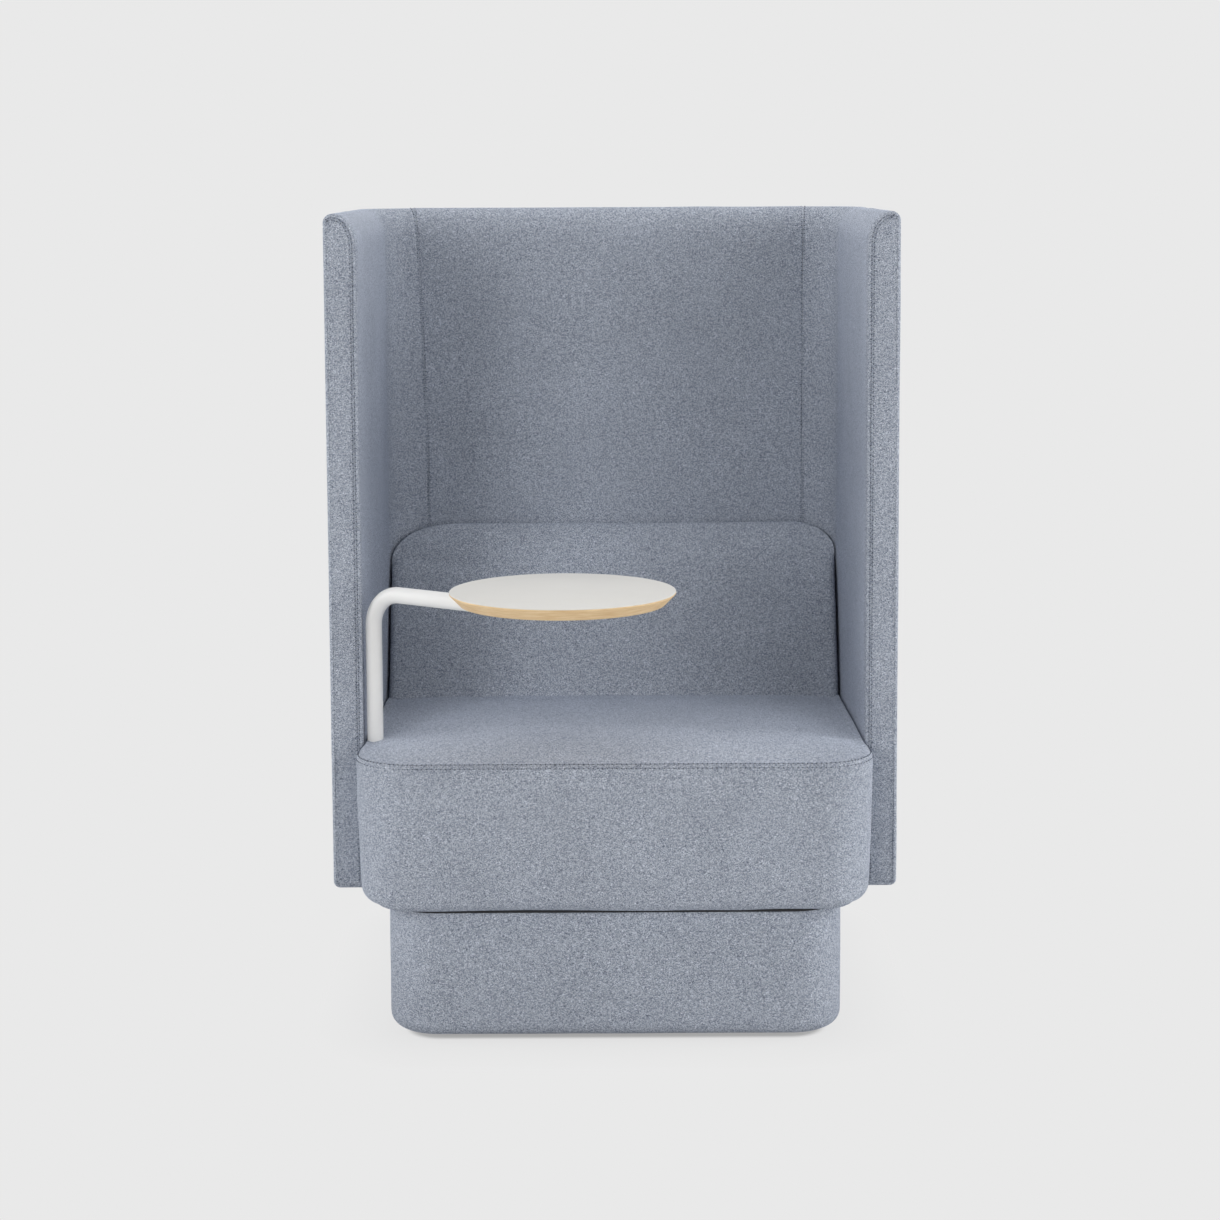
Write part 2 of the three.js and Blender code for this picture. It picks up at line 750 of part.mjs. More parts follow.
function plinthCoverBody() {
  const lipEnd = plinthBottomRadius + plinthLip;
  const outline = [...plinthSkin(0, lipEnd), ...plinthSkin(plinthCover, lipEnd).reverse()];
  return loft(plinthAround().map((station) => plinthRing(station, outline)), true);
}

function plinthRailOutline(inner) {
  return [...plinthSkin(plinthCover + fitGap, inner), [inner, plinthTop]];
}

function plinthRails() {
  const outline = plinthRailOutline(plinthRailInner);
  const halfRun = plinthHalf - plinthCornerRadius - fitGap;
  const frontRun = plinthFrontY + plinthCornerRadius + fitGap;
  const rearRun = plinthRearY - plinthCornerRadius - fitGap;
  const along = (sideY) => {
    const faceY = sideY < 0 ? plinthFrontY : plinthRearY;
    const ring = (x) => outline.map(([u, z]) => new THREE.Vector3(x, faceY - sideY * u, z));
    return loft([ring(-halfRun), ring(halfRun)]);
  };
  const across = (sideX) => loft([frontRun, rearRun].map((y) => outline.map(
    ([u, z]) => new THREE.Vector3(sideX * (plinthHalf - u), y, z))));
  return [
    piece('plinth_front_rail', along(-1), pine),
    piece('plinth_rear_rail', along(1), pine),
    piece('plinth_left_rail', across(-1), pine),
    piece('plinth_right_rail', across(1), pine),
  ];
}

// Corners of the plinth with their names, and the place of the glide in each
const plinthCorners = [
  [-1, -1, 'front_left'],
  [1, -1, 'front_right'],
  [-1, 1, 'rear_left'],
  [1, 1, 'rear_right'],
];

function glidePlace(sideX, sideY) {
  const y = sideY < 0 ? plinthFrontY + glideInset : plinthRearY - glideInset;
  return [sideX * (plinthHalf - glideInset), y];
}

// A rounded corner between the ends of two rails, joined to two blocks that lie behind the rails
function cornerBlock(sideX, sideY) {
  const outline = plinthRailOutline(plinthCornerRadius - cornerBlockBore);
  const stations = plinthCornerStations(sideX, sideY);
  const rounded = loft(stations.map((station) => plinthRing(station, outline)));
  const [x, y] = glidePlace(sideX, sideY);
  const reachX = sideX * cornerBlockSide / 2;
  const reachY = sideY * cornerBlockSide / 2;
  const span = (inner, outer) => [inner, outer].sort((a, b) => a - b);
  const lapX = sideX * (plinthHalf - plinthCornerRadius + cornerBlockLap);
  const lapY = stations[0].y + sideY * cornerBlockLap;
  const heights = [plinthRailBottom, plinthTop];
  const besideRail = block(span(x - reachX, x + reachX), span(y - reachY, lapY), heights);
  const behindRail = block(span(x - reachX, lapX), span(y - reachY, y + reachY), heights);
  return join(rounded, besideRail, behindRail);
}

function glidePieces() {
  const bore = glideStemRadius + fitGap;
  const insertLow = plinthRailBottom + fitGap;
  const insertHigh = insertLow + insertLength;
  const stemTop = glidePadHeight + glideStemLength;
  const holeRadius = bore + insertWall + fitGap;
  return plinthCorners.flatMap(([sideX, sideY, name]) => {
    const [x, y] = glidePlace(sideX, sideY);
    const hole = bar(holeRadius, plinthRailBottom - cutOverrun, stemTop + insertTravelRoom);
    const insert = turned([
      [bore, insertLow],
      [bore + insertWall, insertLow],
      [bore + insertWall, insertHigh],
      [bore, insertHigh],
      [bore, insertLow],
    ]);
    const glide = turned([
      [0, 0],
      [glideRadius - glideChamfer, 0],
      [glideRadius, glideChamfer],
      [glideRadius, glidePadHeight - glideChamfer],
      [glideRadius - glideChamfer, glidePadHeight],
      [glideStemRadius, glidePadHeight],
      [glideStemRadius, stemTop],
      [0, stemTop],
    ]);
    const pieces = [
      piece(`plinth_corner_block_${name}`, cut(cornerBlock(sideX, sideY), hole.translate(x, y, 0)), pine),
      piece(`glide_insert_${name}`, insert, plainSteel),
      piece(`glide_${name}`, glide, blackPlastic),
    ];
    pieces.slice(1).forEach((mesh) => mesh.position.set(x, y, 0));
    return pieces;
  });
}

function dustCover() {
  const inset = plinthBottomRadius + plinthLip + fitGap;
  const upper = plinthRailBottom - fitGap;
  const ring = (z) => plinthAround().flatMap((station) => plinthRing(station, [[inset, z]]));
  const holes = plinthCorners.map(([sideX, sideY]) => {
    const [x, y] = glidePlace(sideX, sideY);
    return bar(dustHoleRadius, plinthBottom - cutOverrun, plinthRailBottom + cutOverrun).translate(x, y, 0);
  });
  return cut(loft([ring(upper - dustCoverThickness), ring(upper)]), ...holes);
}

function plinthPieces() {
  return [
    ...plinthRails(),
    ...glidePieces(),
    piece('plinth_cover', plinthCoverBody(), wool),
    piece('dust_cover', dustCover(), lining),
  ];
}

// Socket and bushes, which stay with the chair
function armSocket() {
  const cup = turned([
    [0, socketBottom],
    [socketOuter, socketBottom],
    [socketOuter, socketTop],
    [socketInner, socketTop],
    [socketInner, socketBottom + socketFloor],
    [0, socketBottom + socketFloor],
  ]);
  const railFace = -seatFrameHalf - fitGap - postX;
  const bracket = block([socketOuter - bracketWeld, railFace], [-bracketWidth / 2, bracketWidth / 2],
    [seatBottomHeight + bracketFoot, seatFrameTop - bracketThickness]);
  return join(cup, bracket);
}

function socketPieces() {
  const flangeLow = socketTop + fitGap;
  const flangeHigh = flangeLow + bushFlange;
  const upper = turned([
    [bushInner, socketTop - bushLength],
    [bushOuter, socketTop - bushLength],
    [bushOuter, flangeLow],
    [socketOuter, flangeLow],
    [socketOuter, flangeHigh],
    [bushInner, flangeHigh],
    [bushInner, socketTop - bushLength],
  ]);
  const lower = turned([
    [0, lowerBushBottom],
    [bushOuter, lowerBushBottom],
    [bushOuter, lowerBushBottom + bushLength],
    [bushInner, lowerBushBottom + bushLength],
    [bushInner, lowerBushBottom + bushFloor],
    [0, lowerBushBottom + bushFloor],
  ]);
  const pieces = [
    piece('arm_socket', armSocket(), plainSteel),
    piece('arm_bush_upper', upper, nylon),
    piece('arm_bush_lower', lower, nylon),
  ];
  pieces.forEach((mesh) => mesh.position.set(postX, postY, 0));
  return pieces;
}

// Swivelling tablet, built with its post on the Z axis and its arm along X
function tubeRing(x, z, tilt, radius) {
  return Array.from({ length: tubeSides }, (_, i) => {
    const angle = fullTurn * i / tubeSides;
    const up = radius * Math.sin(angle);
    return new THREE.Vector3(x + up * Math.cos(tilt), radius * Math.cos(angle), z - up * Math.sin(tilt));
  });
}

function bentTube(radius, reach) {
  const rings = [tubeRing(0, postBottom - reach, 0, radius)];
  for (let step = 0; step <= bendSteps; step += 1) {
    const tilt = quarterTurn * step / bendSteps;
    const x = armBendRadius * (1 - Math.cos(tilt));
    const z = armAxisHeight - armBendRadius * (1 - Math.sin(tilt));
    rings.push(tubeRing(x, z, tilt, radius));
  }
  rings.push(tubeRing(armReach - armShortOfCentre + reach, armAxisHeight, quarterTurn, radius));
  return loft(rings);
}

function screwPlaces() {
  const angles = [screwAngle, Math.PI - screwAngle, Math.PI + screwAngle, -screwAngle];
  return angles.map((angle) => [armReach + screwCircle * Math.cos(angle), screwCircle * Math.sin(angle)]);
}

function screwHole([x, y], low, high) {
  return bar(screwRadius + fitGap, low, high).translate(x, y, 0);
}

function tabletArm() {
  const plateLow = plateTop - tabletPlate;
  const plate = bar(tabletPlateRadius, plateLow, plateTop, tabletPlateSides).translate(armReach, 0, 0);
  const holes = screwPlaces().map((place) => screwHole(place, plateLow - cutOverrun, plateTop + cutOverrun));
  const bore = bentTube(armTubeRadius - armTubeWall, cutOverrun);
  return cut(join(bentTube(armTubeRadius, 0), plate), bore, ...holes);
}

function tabletPieces() {
  const headTop = plateTop - tabletPlate - fitGap;
  const screwTip = headTop + screwLength;
  const wood = turned([
    [0, boardUnderside],
    [tabletRadius - tabletBevel, boardUnderside],
    [tabletRadius, boardUpperside - tabletEdge],
    [tabletRadius, boardUpperside],
    [0, boardUpperside],
  ], tabletSides).translate(armReach, 0, 0);
  const holeLow = boardUnderside - cutOverrun;
  const pilotHoles = screwPlaces().map((place) => screwHole(place, holeLow, screwTip + fitGap));
  const topLow = boardUpperside + fitGap;
  const top = bar(tabletRadius, topLow, topLow + tabletLaminate, tabletSides);
  const screw = turned([
    [0, headTop - screwHeadHeight],
    [screwHeadRadius, headTop - screwHeadHeight],
    [screwHeadRadius, headTop],
    [screwRadius, headTop],
    [screwRadius, screwTip],
    [0, screwTip],
  ]);
  const screws = screwPlaces().map(([x, y], i) => {
    const mesh = piece(`tablet_screw_${i + 1}`, screw, plainSteel);
    mesh.position.set(x, y, 0);
    return mesh;
  });
  const spigot = armTubeRadius - armTubeWall - fitGap;
  const plugRadius = armTubeRadius - tabletWeld - fitGap;
  const plug = piece('arm_end_plug', turned([
    [0, -plugSpigot],
    [spigot, -plugSpigot],
    [spigot, fitGap],
    [plugRadius, fitGap],
    [plugRadius, fitGap + plugCap],
    [0, fitGap + plugCap],
  ]), blackPlastic);
  plug.rotation.y = quarterTurn;
  plug.position.set(armReach - armShortOfCentre, 0, armAxisHeight);
  return [
    piece('tablet_arm', tabletArm(), whiteSteel),
    piece('tablet_board', cut(wood, ...pilotHoles), beechEdge),
    piece('tablet_laminate', top.translate(armReach, 0, 0), laminate),
    ...screws,
    plug,
  ];
}

const tablet = new THREE.Group();
tablet.add(...tabletPieces());
tablet.position.set(postX, postY, 0);
tablet.rotation.z = -armForwardAngle;

const tabletFrontY = postY - armReach * Math.sin(armForwardAngle) - tabletRadius;
const frontY = Math.min(tabletFrontY, seatFrontY);

const chair = new THREE.Group();
chair.add(...plinthPieces(), ...seatPieces(), ...shellPieces());
chair.add(...lumbarPieces(), ...socketPieces(), tablet);
chair.position.y = -(frontY + shellDepth) / 2;

export default chair;
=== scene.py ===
import json
from math import cos, exp, pi, radians, sin, sqrt, tan

import bmesh
import bpy
import numpy as np
from mathutils import Matrix, Vector, kdtree, noise


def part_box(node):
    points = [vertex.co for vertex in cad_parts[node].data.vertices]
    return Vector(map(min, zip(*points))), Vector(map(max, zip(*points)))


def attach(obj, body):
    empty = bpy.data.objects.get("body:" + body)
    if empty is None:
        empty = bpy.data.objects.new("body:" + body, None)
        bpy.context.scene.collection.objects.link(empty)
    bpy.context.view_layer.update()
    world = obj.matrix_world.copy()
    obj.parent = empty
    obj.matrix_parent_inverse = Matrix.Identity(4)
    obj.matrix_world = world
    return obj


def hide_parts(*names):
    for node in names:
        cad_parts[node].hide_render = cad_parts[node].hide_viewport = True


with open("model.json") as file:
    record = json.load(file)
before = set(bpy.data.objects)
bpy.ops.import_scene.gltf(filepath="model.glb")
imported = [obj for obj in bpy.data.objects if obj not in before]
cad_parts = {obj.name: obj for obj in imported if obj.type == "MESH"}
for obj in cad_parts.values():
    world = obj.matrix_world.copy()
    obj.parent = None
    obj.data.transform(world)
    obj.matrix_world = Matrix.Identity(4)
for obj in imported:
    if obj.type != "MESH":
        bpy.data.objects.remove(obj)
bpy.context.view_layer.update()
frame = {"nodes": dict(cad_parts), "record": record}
scene = bpy.context.scene

# Chair sizes in metres, the same as those of the frame
WALL = 0.050
INNER_HALF = 0.385
BACK_HALF = 0.325
CORNER_RADIUS = 0.060
TOP_HEIGHT = 1.245
SHELL_BOTTOM = 0.207
TOP_INNER_RUN = 0.036
TOP_INNER_DROP = 0.050
TOP_OUTER_RADIUS = 0.014
WING_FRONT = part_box("front_strip_left")[0][1]
INNER_BACK = WING_FRONT + 0.562
WING_RUN = 0.502
LEFT_SEAM = WING_RUN + CORNER_RADIUS * pi / 2
RIGHT_SEAM = LEFT_SEAM + 2 * BACK_HALF

SEAT_HALF = 0.3845
SEAT_FRONT = WING_FRONT - 0.167
SEAT_REAR = WING_FRONT + 0.5615
SEAT_BOTTOM = 0.2143
SEAT_SEAM = 0.437
SEAT_FRONT_RADIUS = 0.085
SEAT_REAR_RADIUS = 0.0595

POST = (-0.368, WING_FRONT + 0.015)
ARM_AXIS = 0.667
ARM_REACH = 0.356
ARM_END = ARM_REACH - 0.026
ARM_TURN = radians(-34.4)
TABLET_RADIUS = 0.165

PLINTH_HALF = 0.344
PLINTH_FRONT = WING_FRONT - 0.125
PLINTH_REAR = WING_FRONT + 0.560
PLINTH_TOP = 0.214
PLINTH_BOTTOM = 0.010
PLINTH_RADIUS = 0.078


# Mesh helpers
def put(name, data):
    """An object with this mesh, lamp or camera, linked to the scene."""
    item = bpy.data.objects.new(name, data)
    scene.collection.objects.link(item)
    return item


def new_mesh(name, verts, faces=(), edges=(), smooth=True):
    mesh = bpy.data.meshes.new(name)
    mesh.from_pydata([tuple(v) for v in verts], list(edges), [tuple(f) for f in faces])
    mesh.validate()
    if smooth:
        mesh.shade_smooth()
    return put(name, mesh)


def settled(item):
    """The mesh of an object as its modifiers leave it."""
    return bpy.data.meshes.new_from_object(item.evaluated_get(bpy.context.evaluated_depsgraph_get()))


def moved(piece, matrix):
    piece.data.transform(matrix)
    return piece


def face_outwards(piece):
    bm = bmesh.new()
    bm.from_mesh(piece.data)
    bmesh.ops.remove_doubles(bm, verts=bm.verts, dist=1e-6)
    bmesh.ops.recalc_face_normals(bm, faces=bm.faces)
    bm.to_mesh(piece.data)
    bm.free()
    return piece


def ring_faces(rings, count, first=0, endless=False):
    """Quads between neighbouring rings of count points each."""
    faces = []
    for i in range(rings if endless else rings - 1):
        a = first + i * count
        b = first + ((i + 1) % rings) * count
        for j in range(count):
            k = (j + 1) % count
            faces.append((a + j, a + k, b + k, b + j))
    return faces


def loft(name, rings, endless=False):
    """A closed body through rings of points; without an end, the last ring joins the first."""
    count = len(rings[0])
    verts = np.concatenate(rings)
    faces = ring_faces(len(rings), count, endless=endless)
    if not endless:
        faces += [tuple(range(count))[::-1], tuple(range(len(verts) - count, len(verts)))]
    return face_outwards(new_mesh(name, verts, faces))


def arc_points(centre, radii, start, end, steps):
    angles = [start + (end - start) * i / steps for i in range(steps + 1)]
    return [(centre[0] + radii[0] * cos(a), centre[1] + radii[1] * sin(a)) for a in angles]


def rounded_profile(corners, steps=5):
    """(radius, height) pairs with each inner corner (r, z, rounding) turned into a small arc."""
    points = [corners[0][:2]]
    for before, here, after in zip(corners, corners[1:], corners[2:]):
        if not here[2]:
            points.append(here[:2])
            continue
        corner = Vector(here[:2])
        back = (Vector(before[:2]) - corner).normalized()
        on = (Vector(after[:2]) - corner).normalized()
        half = back.angle(on) / 2
        reach = here[2] / tan(half)
        centre = corner + (back + on).normalized() * here[2] / sin(half)
        start = corner + back * reach - centre
        end = corner + on * reach - centre
        sweep = start.angle_signed(end)
        for i in range(steps + 1):
            arm = start.copy()
            arm.rotate(Matrix.Rotation(-sweep * i / steps, 2))
            points.append(tuple(centre + arm))
    points.append(corners[-1][:2])
    return points


def turned(name, corners, sides):
    """A closed body turned about the Z axis from corners (radius, height, rounding) from axis to axis."""
    profile = rounded_profile(corners)
    turns = [2 * pi * i / sides for i in range(sides)]
    verts = [(0, 0, profile[0][1])]
    verts += [(radius * cos(t), radius * sin(t), z) for radius, z in profile[1:-1] for t in turns]
    verts.append((0, 0, profile[-1][1]))
    faces = ring_faces(len(profile) - 2, sides, 1)
    last = len(verts) - 1
    start = last - sides
    for i in range(sides):
        k = (i + 1) % sides
        faces += [(0, 1 + k, 1 + i), (last, start + i, start + k)]
    return face_outwards(new_mesh(name, verts, faces))


def crumple(piece, height, wave, seed):
    """Moves points along their normals by soft noise, as cloth that isn't quite even."""
    points = np.array([v.co for v in piece.data.vertices])
    normals = np.array([v.normal for v in piece.data.vertices])
    offset = Vector((seed * 3.7, seed * 1.3, seed * 2.1))
    spots = [Vector(point) / wave for point in points]
    values = [noise.noise(spot + offset) + 0.5 * noise.noise(spot * 2.3 + offset) for spot in spots]
    points += normals * height * np.array(values)[:, None]
    piece.data.vertices.foreach_set("co", points.ravel())
    piece.data.update()


# Cloth simulation
CLOTH_PRESSURE = 4
CLOTH_STEPS = 20


def swollen_places(piece, voxel, held):
    """Where an evenly meshed copy's points lie before and after it swells as cloth, with some held."""
    trial = put(piece.name + "_cloth", piece.data.copy())
    even = trial.modifiers.new("even", "REMESH")
    even.mode = "VOXEL"
    even.voxel_size = voxel
    trial.data = settled(trial)
    trial.modifiers.clear()
    before = np.array([v.co for v in trial.data.vertices])
    group = trial.vertex_groups.new(name="held")
    for index, point in enumerate(before):
        if held(*point):
            group.add([index], 1.0, "REPLACE")
    settings = trial.modifiers.new("cloth", "CLOTH").settings
    settings.quality = 4
    settings.use_pressure = True
    settings.uniform_pressure_force = CLOTH_PRESSURE
    settings.vertex_group_mass = "held"
    settings.tension_stiffness = 25
    settings.compression_stiffness = 25
    settings.shear_stiffness = 10
    settings.bending_stiffness = 2
    settings.effector_weights.gravity = 0
    for step in range(1, CLOTH_STEPS + 1):
        scene.frame_set(step)
    after = np.array([v.co for v in settled(trial).vertices])
    bpy.data.objects.remove(trial)
    scene.frame_set(1)
    return before, after


def swell(piece, voxel, most, held):
    """Moves the points of the finely meshed piece as the cloth moved there, and never by more than most."""
    before, after = swollen_places(piece, voxel, held)
    moves = after - before
    tree = kdtree.KDTree(len(before))
    for index, point in enumerate(before):
        tree.insert(point, index)
    tree.balance()
    for vert in piece.data.vertices:
        near = tree.find_n(vert.co, 6)
        weights = [1.0 / (distance + voxel * 0.2) ** 2 for _, _, distance in near]
        move = sum(moves[index] * weight for (_, index, _), weight in zip(near, weights)) / sum(weights)
        length = np.linalg.norm(move)
        if length > 0.0:
            vert.co += Vector(move * most * (1 - exp(-length / most)) / length)
    piece.data.update()


# Node helpers. An input is a plain value or another node's output, and the tree is that output's.
def feed(made, inputs):
    for key, value in inputs.items():
        if isinstance(value, bpy.types.NodeSocket):
            made.id_data.links.new(value, made.inputs[key])
        else:
            made.inputs[key].default_value = value


def node(kind, inputs=None, tree=None, **settings):
    """A node with its settings and with its inputs by name or number."""
    inputs = inputs or {}
    if tree is None:
        tree = next(value.id_data for value in inputs.values() if isinstance(value, bpy.types.NodeSocket))
    made = tree.nodes.new(kind)
    for key, value in settings.items():
        setattr(made, key, value)
    feed(made, inputs)
    return made


def out(kind, inputs=None, tree=None, output=0, **settings):
    """One output of such a node."""
    return node(kind, inputs, tree, **settings).outputs[output]


def maths(operation, *values, clamp=False):
    return out("ShaderNodeMath", dict(enumerate(values)), operation=operation, use_clamp=clamp)


def times(a, b):
    return maths("MULTIPLY", a, b)


def stretched(vector, scale):
    return out("ShaderNodeMapping", {"Vector": vector, "Scale": scale})


def speckle(vector, scale, detail=2, roughness=0.6, output="Fac"):
    inputs = {"Vector": vector, "Scale": scale, "Detail": detail, "Roughness": roughness}
    return out("ShaderNodeTexNoise", inputs, output=output)


def between(value, low, high, to_low=0.0, to_high=1.0):
    inputs = {"Value": value, "From Min": low, "From Max": high, "To Min": to_low, "To Max": to_high}
    return out("ShaderNodeMapRange", inputs, clamp=True)


def blend(factor, a, b, mode="MIX"):
    return out("ShaderNodeMix", {0: factor, 6: a, 7: b}, output=2, data_type="RGBA", blend_type=mode)


def linear(*colour):
    """A colour written as 0 to 255, as a shader wants it."""
    shares = [value / 255 for value in colour]
    return (*[v / 12.92 if v <= 0.04045 else ((v + 0.055) / 1.055) ** 2.4 for v in shares], 1.0)


def labelled(values):
    """The values under the names that their sockets show, with colours as a shader wants them."""
    return {key.replace("_", " ").title(): linear(*value) if isinstance(value, tuple) else value
            for key, value in values.items()}


def new_tree(name, kind, inputs, outputs):
    """A tree, and the outputs of its input node. Its sockets are given by kind or by default value."""
    tree = bpy.data.node_groups.new(name, kind)
    for in_out, sockets in (("INPUT", inputs), ("OUTPUT", outputs)):
        for key, value in sockets.items():
            word = value if isinstance(value, str) else "Color" if isinstance(value, tuple) else "Float"
            socket = tree.interface.new_socket(key, in_out=in_out, socket_type="NodeSocket" + word)
            if value != word:
                socket.default_value = value
    return tree, node("NodeGroupInput", tree=tree).outputs


# Effects that several materials share
def effect_group(name, **inputs):
    """The inputs of a new group that makes a colour, a roughness and a height at a vector."""
    results = {"Color": "Color", "Roughness": "Float", "Height": "Float"}
    return new_tree(name, "ShaderNodeTree", {"Vector": "Vector", **labelled(inputs)}, results)[1]


def give(colour, roughness, height):
    return node("NodeGroupOutput", {"Color": colour, "Roughness": roughness, "Height": height}).id_data


def wool_group():
    """Light and dark fibres on a ground colour, with faint slubs and clouds."""
    source = effect_group("wool_melange", ground=(161, 168, 181), dark_fibre=(68, 77, 95),
                          light_fibre=(240, 245, 252), dark_share=0.92, light_share=0.72)
    vector = source["Vector"]
    twist = speckle(vector, 420, 1, 0.5, "Color")
    bent = out("ShaderNodeVectorMath", {0: twist, 1: (0.0032, 0.0032, 0.0032), 2: vector},
               operation="MULTIPLY_ADD")
    tufts = out("ShaderNodeTexVoronoi", {"Vector": stretched(bent, (1, 1, 1.35)), "Scale": 900},
                output="Color", feature="F1")
    chance = out("ShaderNodeSeparateColor", {0: tufts})
    streaks = speckle(stretched(vector, (1, 1, 1.6)), 640, 3, 0.7)
    fibres = speckle(stretched(vector, (1, 1, 1.5)), 1100, 1, 0.5)
    clouds = speckle(vector, 9, 2, 0.5)
    slubs = speckle(stretched(vector, (1, 1, 1.4)), 150)
    mixed = maths("MULTIPLY_ADD", chance, 0.45, times(streaks, 1.2))
    dark = times(between(mixed, 0.80, 0.56), source["Dark Share"])
    light = times(between(mixed, 0.88, 1.12), source["Light Share"])
    colour = blend(dark, source["Ground"], source["Dark Fibre"])
    colour = blend(light, colour, source["Light Fibre"])
    shade = times(between(clouds, 0.3, 0.7, 0.96, 1.04), between(slubs, 0.25, 0.75, 0.95, 1.05))
    grey = out("ShaderNodeCombineColor", {0: shade, 1: shade, 2: shade})
    height = maths("MULTIPLY_ADD", streaks, 0.6, times(fibres, 0.5))
    return give(blend(1.0, colour, grey, "MULTIPLY"), between(streaks, 0.3, 0.7, 0.86, 0.98), height)


def grain_group():
    """Wood with its grain along X."""
    source = effect_group("wood_grain", ground=(226, 198, 156), dark_grain=(196, 158, 110), contrast=0.55)
    vector = source["Vector"]
    broad = speckle(vector, 9, 4)
    fine = speckle(stretched(vector, (1, 6, 6)), 30, 3, 0.65)
    pores = speckle(stretched(vector, (1, 10, 10)), 70, 2, 0.5)
    mask = times(between(fine, 0.35, 0.75), source["Contrast"])
    mask = maths("ADD", mask, times(between(broad, 0.4, 0.75), 0.25), clamp=True)
    mask = maths("ADD", mask, between(pores, 0.62, 0.80, 0.0, 0.35), clamp=True)
    colour = blend(mask, source["Ground"], source["Dark Grain"])
    return give(colour, between(fine, 0.3, 0.8, 0.42, 0.60), maths("SUBTRACT", 1.0, mask))


def coat_group():
    """Fine unevenness of paint, moulded plastic or laminate, with faint handling marks."""
    source = effect_group("fine_coat", ground=(235, 235, 235), grain_size=900, roughness=0.45, marks=0.06)
    grain = speckle(source["Vector"], source["Grain Size"], 2, 0.5)
    wide = speckle(source["Vector"], 14, 3)
    marks = times(between(wide, 0.45, 0.75), source["Marks"])
    uneven = between(wide, 0.3, 0.7, -0.5, 0.5)
    return give(blend(marks, source["Ground"], linear(150, 150, 152)),
                maths("MULTIPLY_ADD", uneven, 0.08, source["Roughness"]), grain)


def brushed_group():
    source = effect_group("brushed_metal", ground=(172, 174, 177), roughness=0.34)
    lines = speckle(stretched(source["Vector"], (1, 1, 14)), 260)
    dull = between(speckle(source["Vector"], 40, 3), 0.4, 0.8, 0.0, 0.3)
    uneven = between(lines, 0.3, 0.7, -0.5, 0.5)
    return give(blend(dull, source["Ground"], linear(120, 122, 126)),
                maths("MULTIPLY_ADD", uneven, 0.2, source["Roughness"]), lines)


def woven_group():
    source = effect_group("woven_strap", ground=(62, 60, 58), thread=(120, 112, 100), threads=2600)
    parts = node("ShaderNodeSeparateXYZ", {0: source["Vector"]}).outputs
    waves = [maths("SINE", times(parts[axis], source["Threads"])) for axis in ("X", "Y")]
    weave = maths("MULTIPLY_ADD", times(*waves), 0.5, 0.5)
    mixed = times(weave, speckle(source["Vector"], 400))
    return give(blend(mixed, source["Ground"], source["Thread"]), between(weave, 0.0, 1.0, 0.95, 0.75), weave)


GROUPS = {"wool": wool_group(), "grain": grain_group(), "coat": coat_group(), "brushed": brushed_group(),
          "woven": woven_group()}


# Materials
def upright(vector):
    """Turns the grain to run upwards."""
    return out("ShaderNodeMapping", {"Vector": vector, "Rotation": (0, pi / 2, 0)})


def round_the_rim(vector):
    """Lets the grain run round the rim of the tablet's board."""
    centre = (POST[0] + ARM_REACH * cos(ARM_TURN), POST[1] + ARM_REACH * sin(ARM_TURN))
    centred = out("ShaderNodeMapping", {"Vector": vector, "Location": (-centre[0], -centre[1], 0)})
    parts = node("ShaderNodeSeparateXYZ", {0: centred}).outputs
    along = times(maths("ARCTAN2", parts["Y"], parts["X"]), TABLET_RADIUS)
    height = times(parts["Z"], 1.8)
    return out("ShaderNodeCombineXYZ", {"X": along, "Y": height, "Z": height})


def finish_of(name, effect, bump, metallic=0, sheen=0, gloss=0.5, turn=None, **values):
    """A material with its colour, roughness and height from a shared effect; bump is strength, distance."""
    material = bpy.data.materials.new(name)
    material.use_nodes = True
    tree = material.node_tree
    vector = out("ShaderNodeTexCoord", tree=tree, output="Object")
    inputs = {"Vector": turn(vector) if turn else vector, **labelled(values)}
    made = node("ShaderNodeGroup", inputs, node_tree=GROUPS[effect]).outputs
    feed(tree.nodes["Principled BSDF"], {
        "Base Color": made["Color"],
        "Roughness": made["Roughness"],
        "Normal": out("ShaderNodeBump", {"Strength": bump[0], "Distance": bump[1], "Height": made["Height"]}),
        "Metallic": metallic,
        "Sheen Weight": sheen,
        "Sheen Roughness": 0.35,
        "Sheen Tint": linear(214, 226, 255),
        "Specular IOR Level": gloss,
    })
    return material


thread = finish_of("seam_thread", "wool", (0.3, 0.0004), ground=(138, 146, 161), dark_fibre=(104, 112, 128),
                   light_fibre=(180, 186, 197), gloss=0.2)
# Painted shade: a dark copy of the wool, for the beads that stand in for the shade inside the needle holes
needle_hole = finish_of("needle_hole", "wool", (0.3, 0.0004), ground=(52, 57, 68), dark_fibre=(36, 40, 49),
                        light_fibre=(78, 85, 98), gloss=0.1)
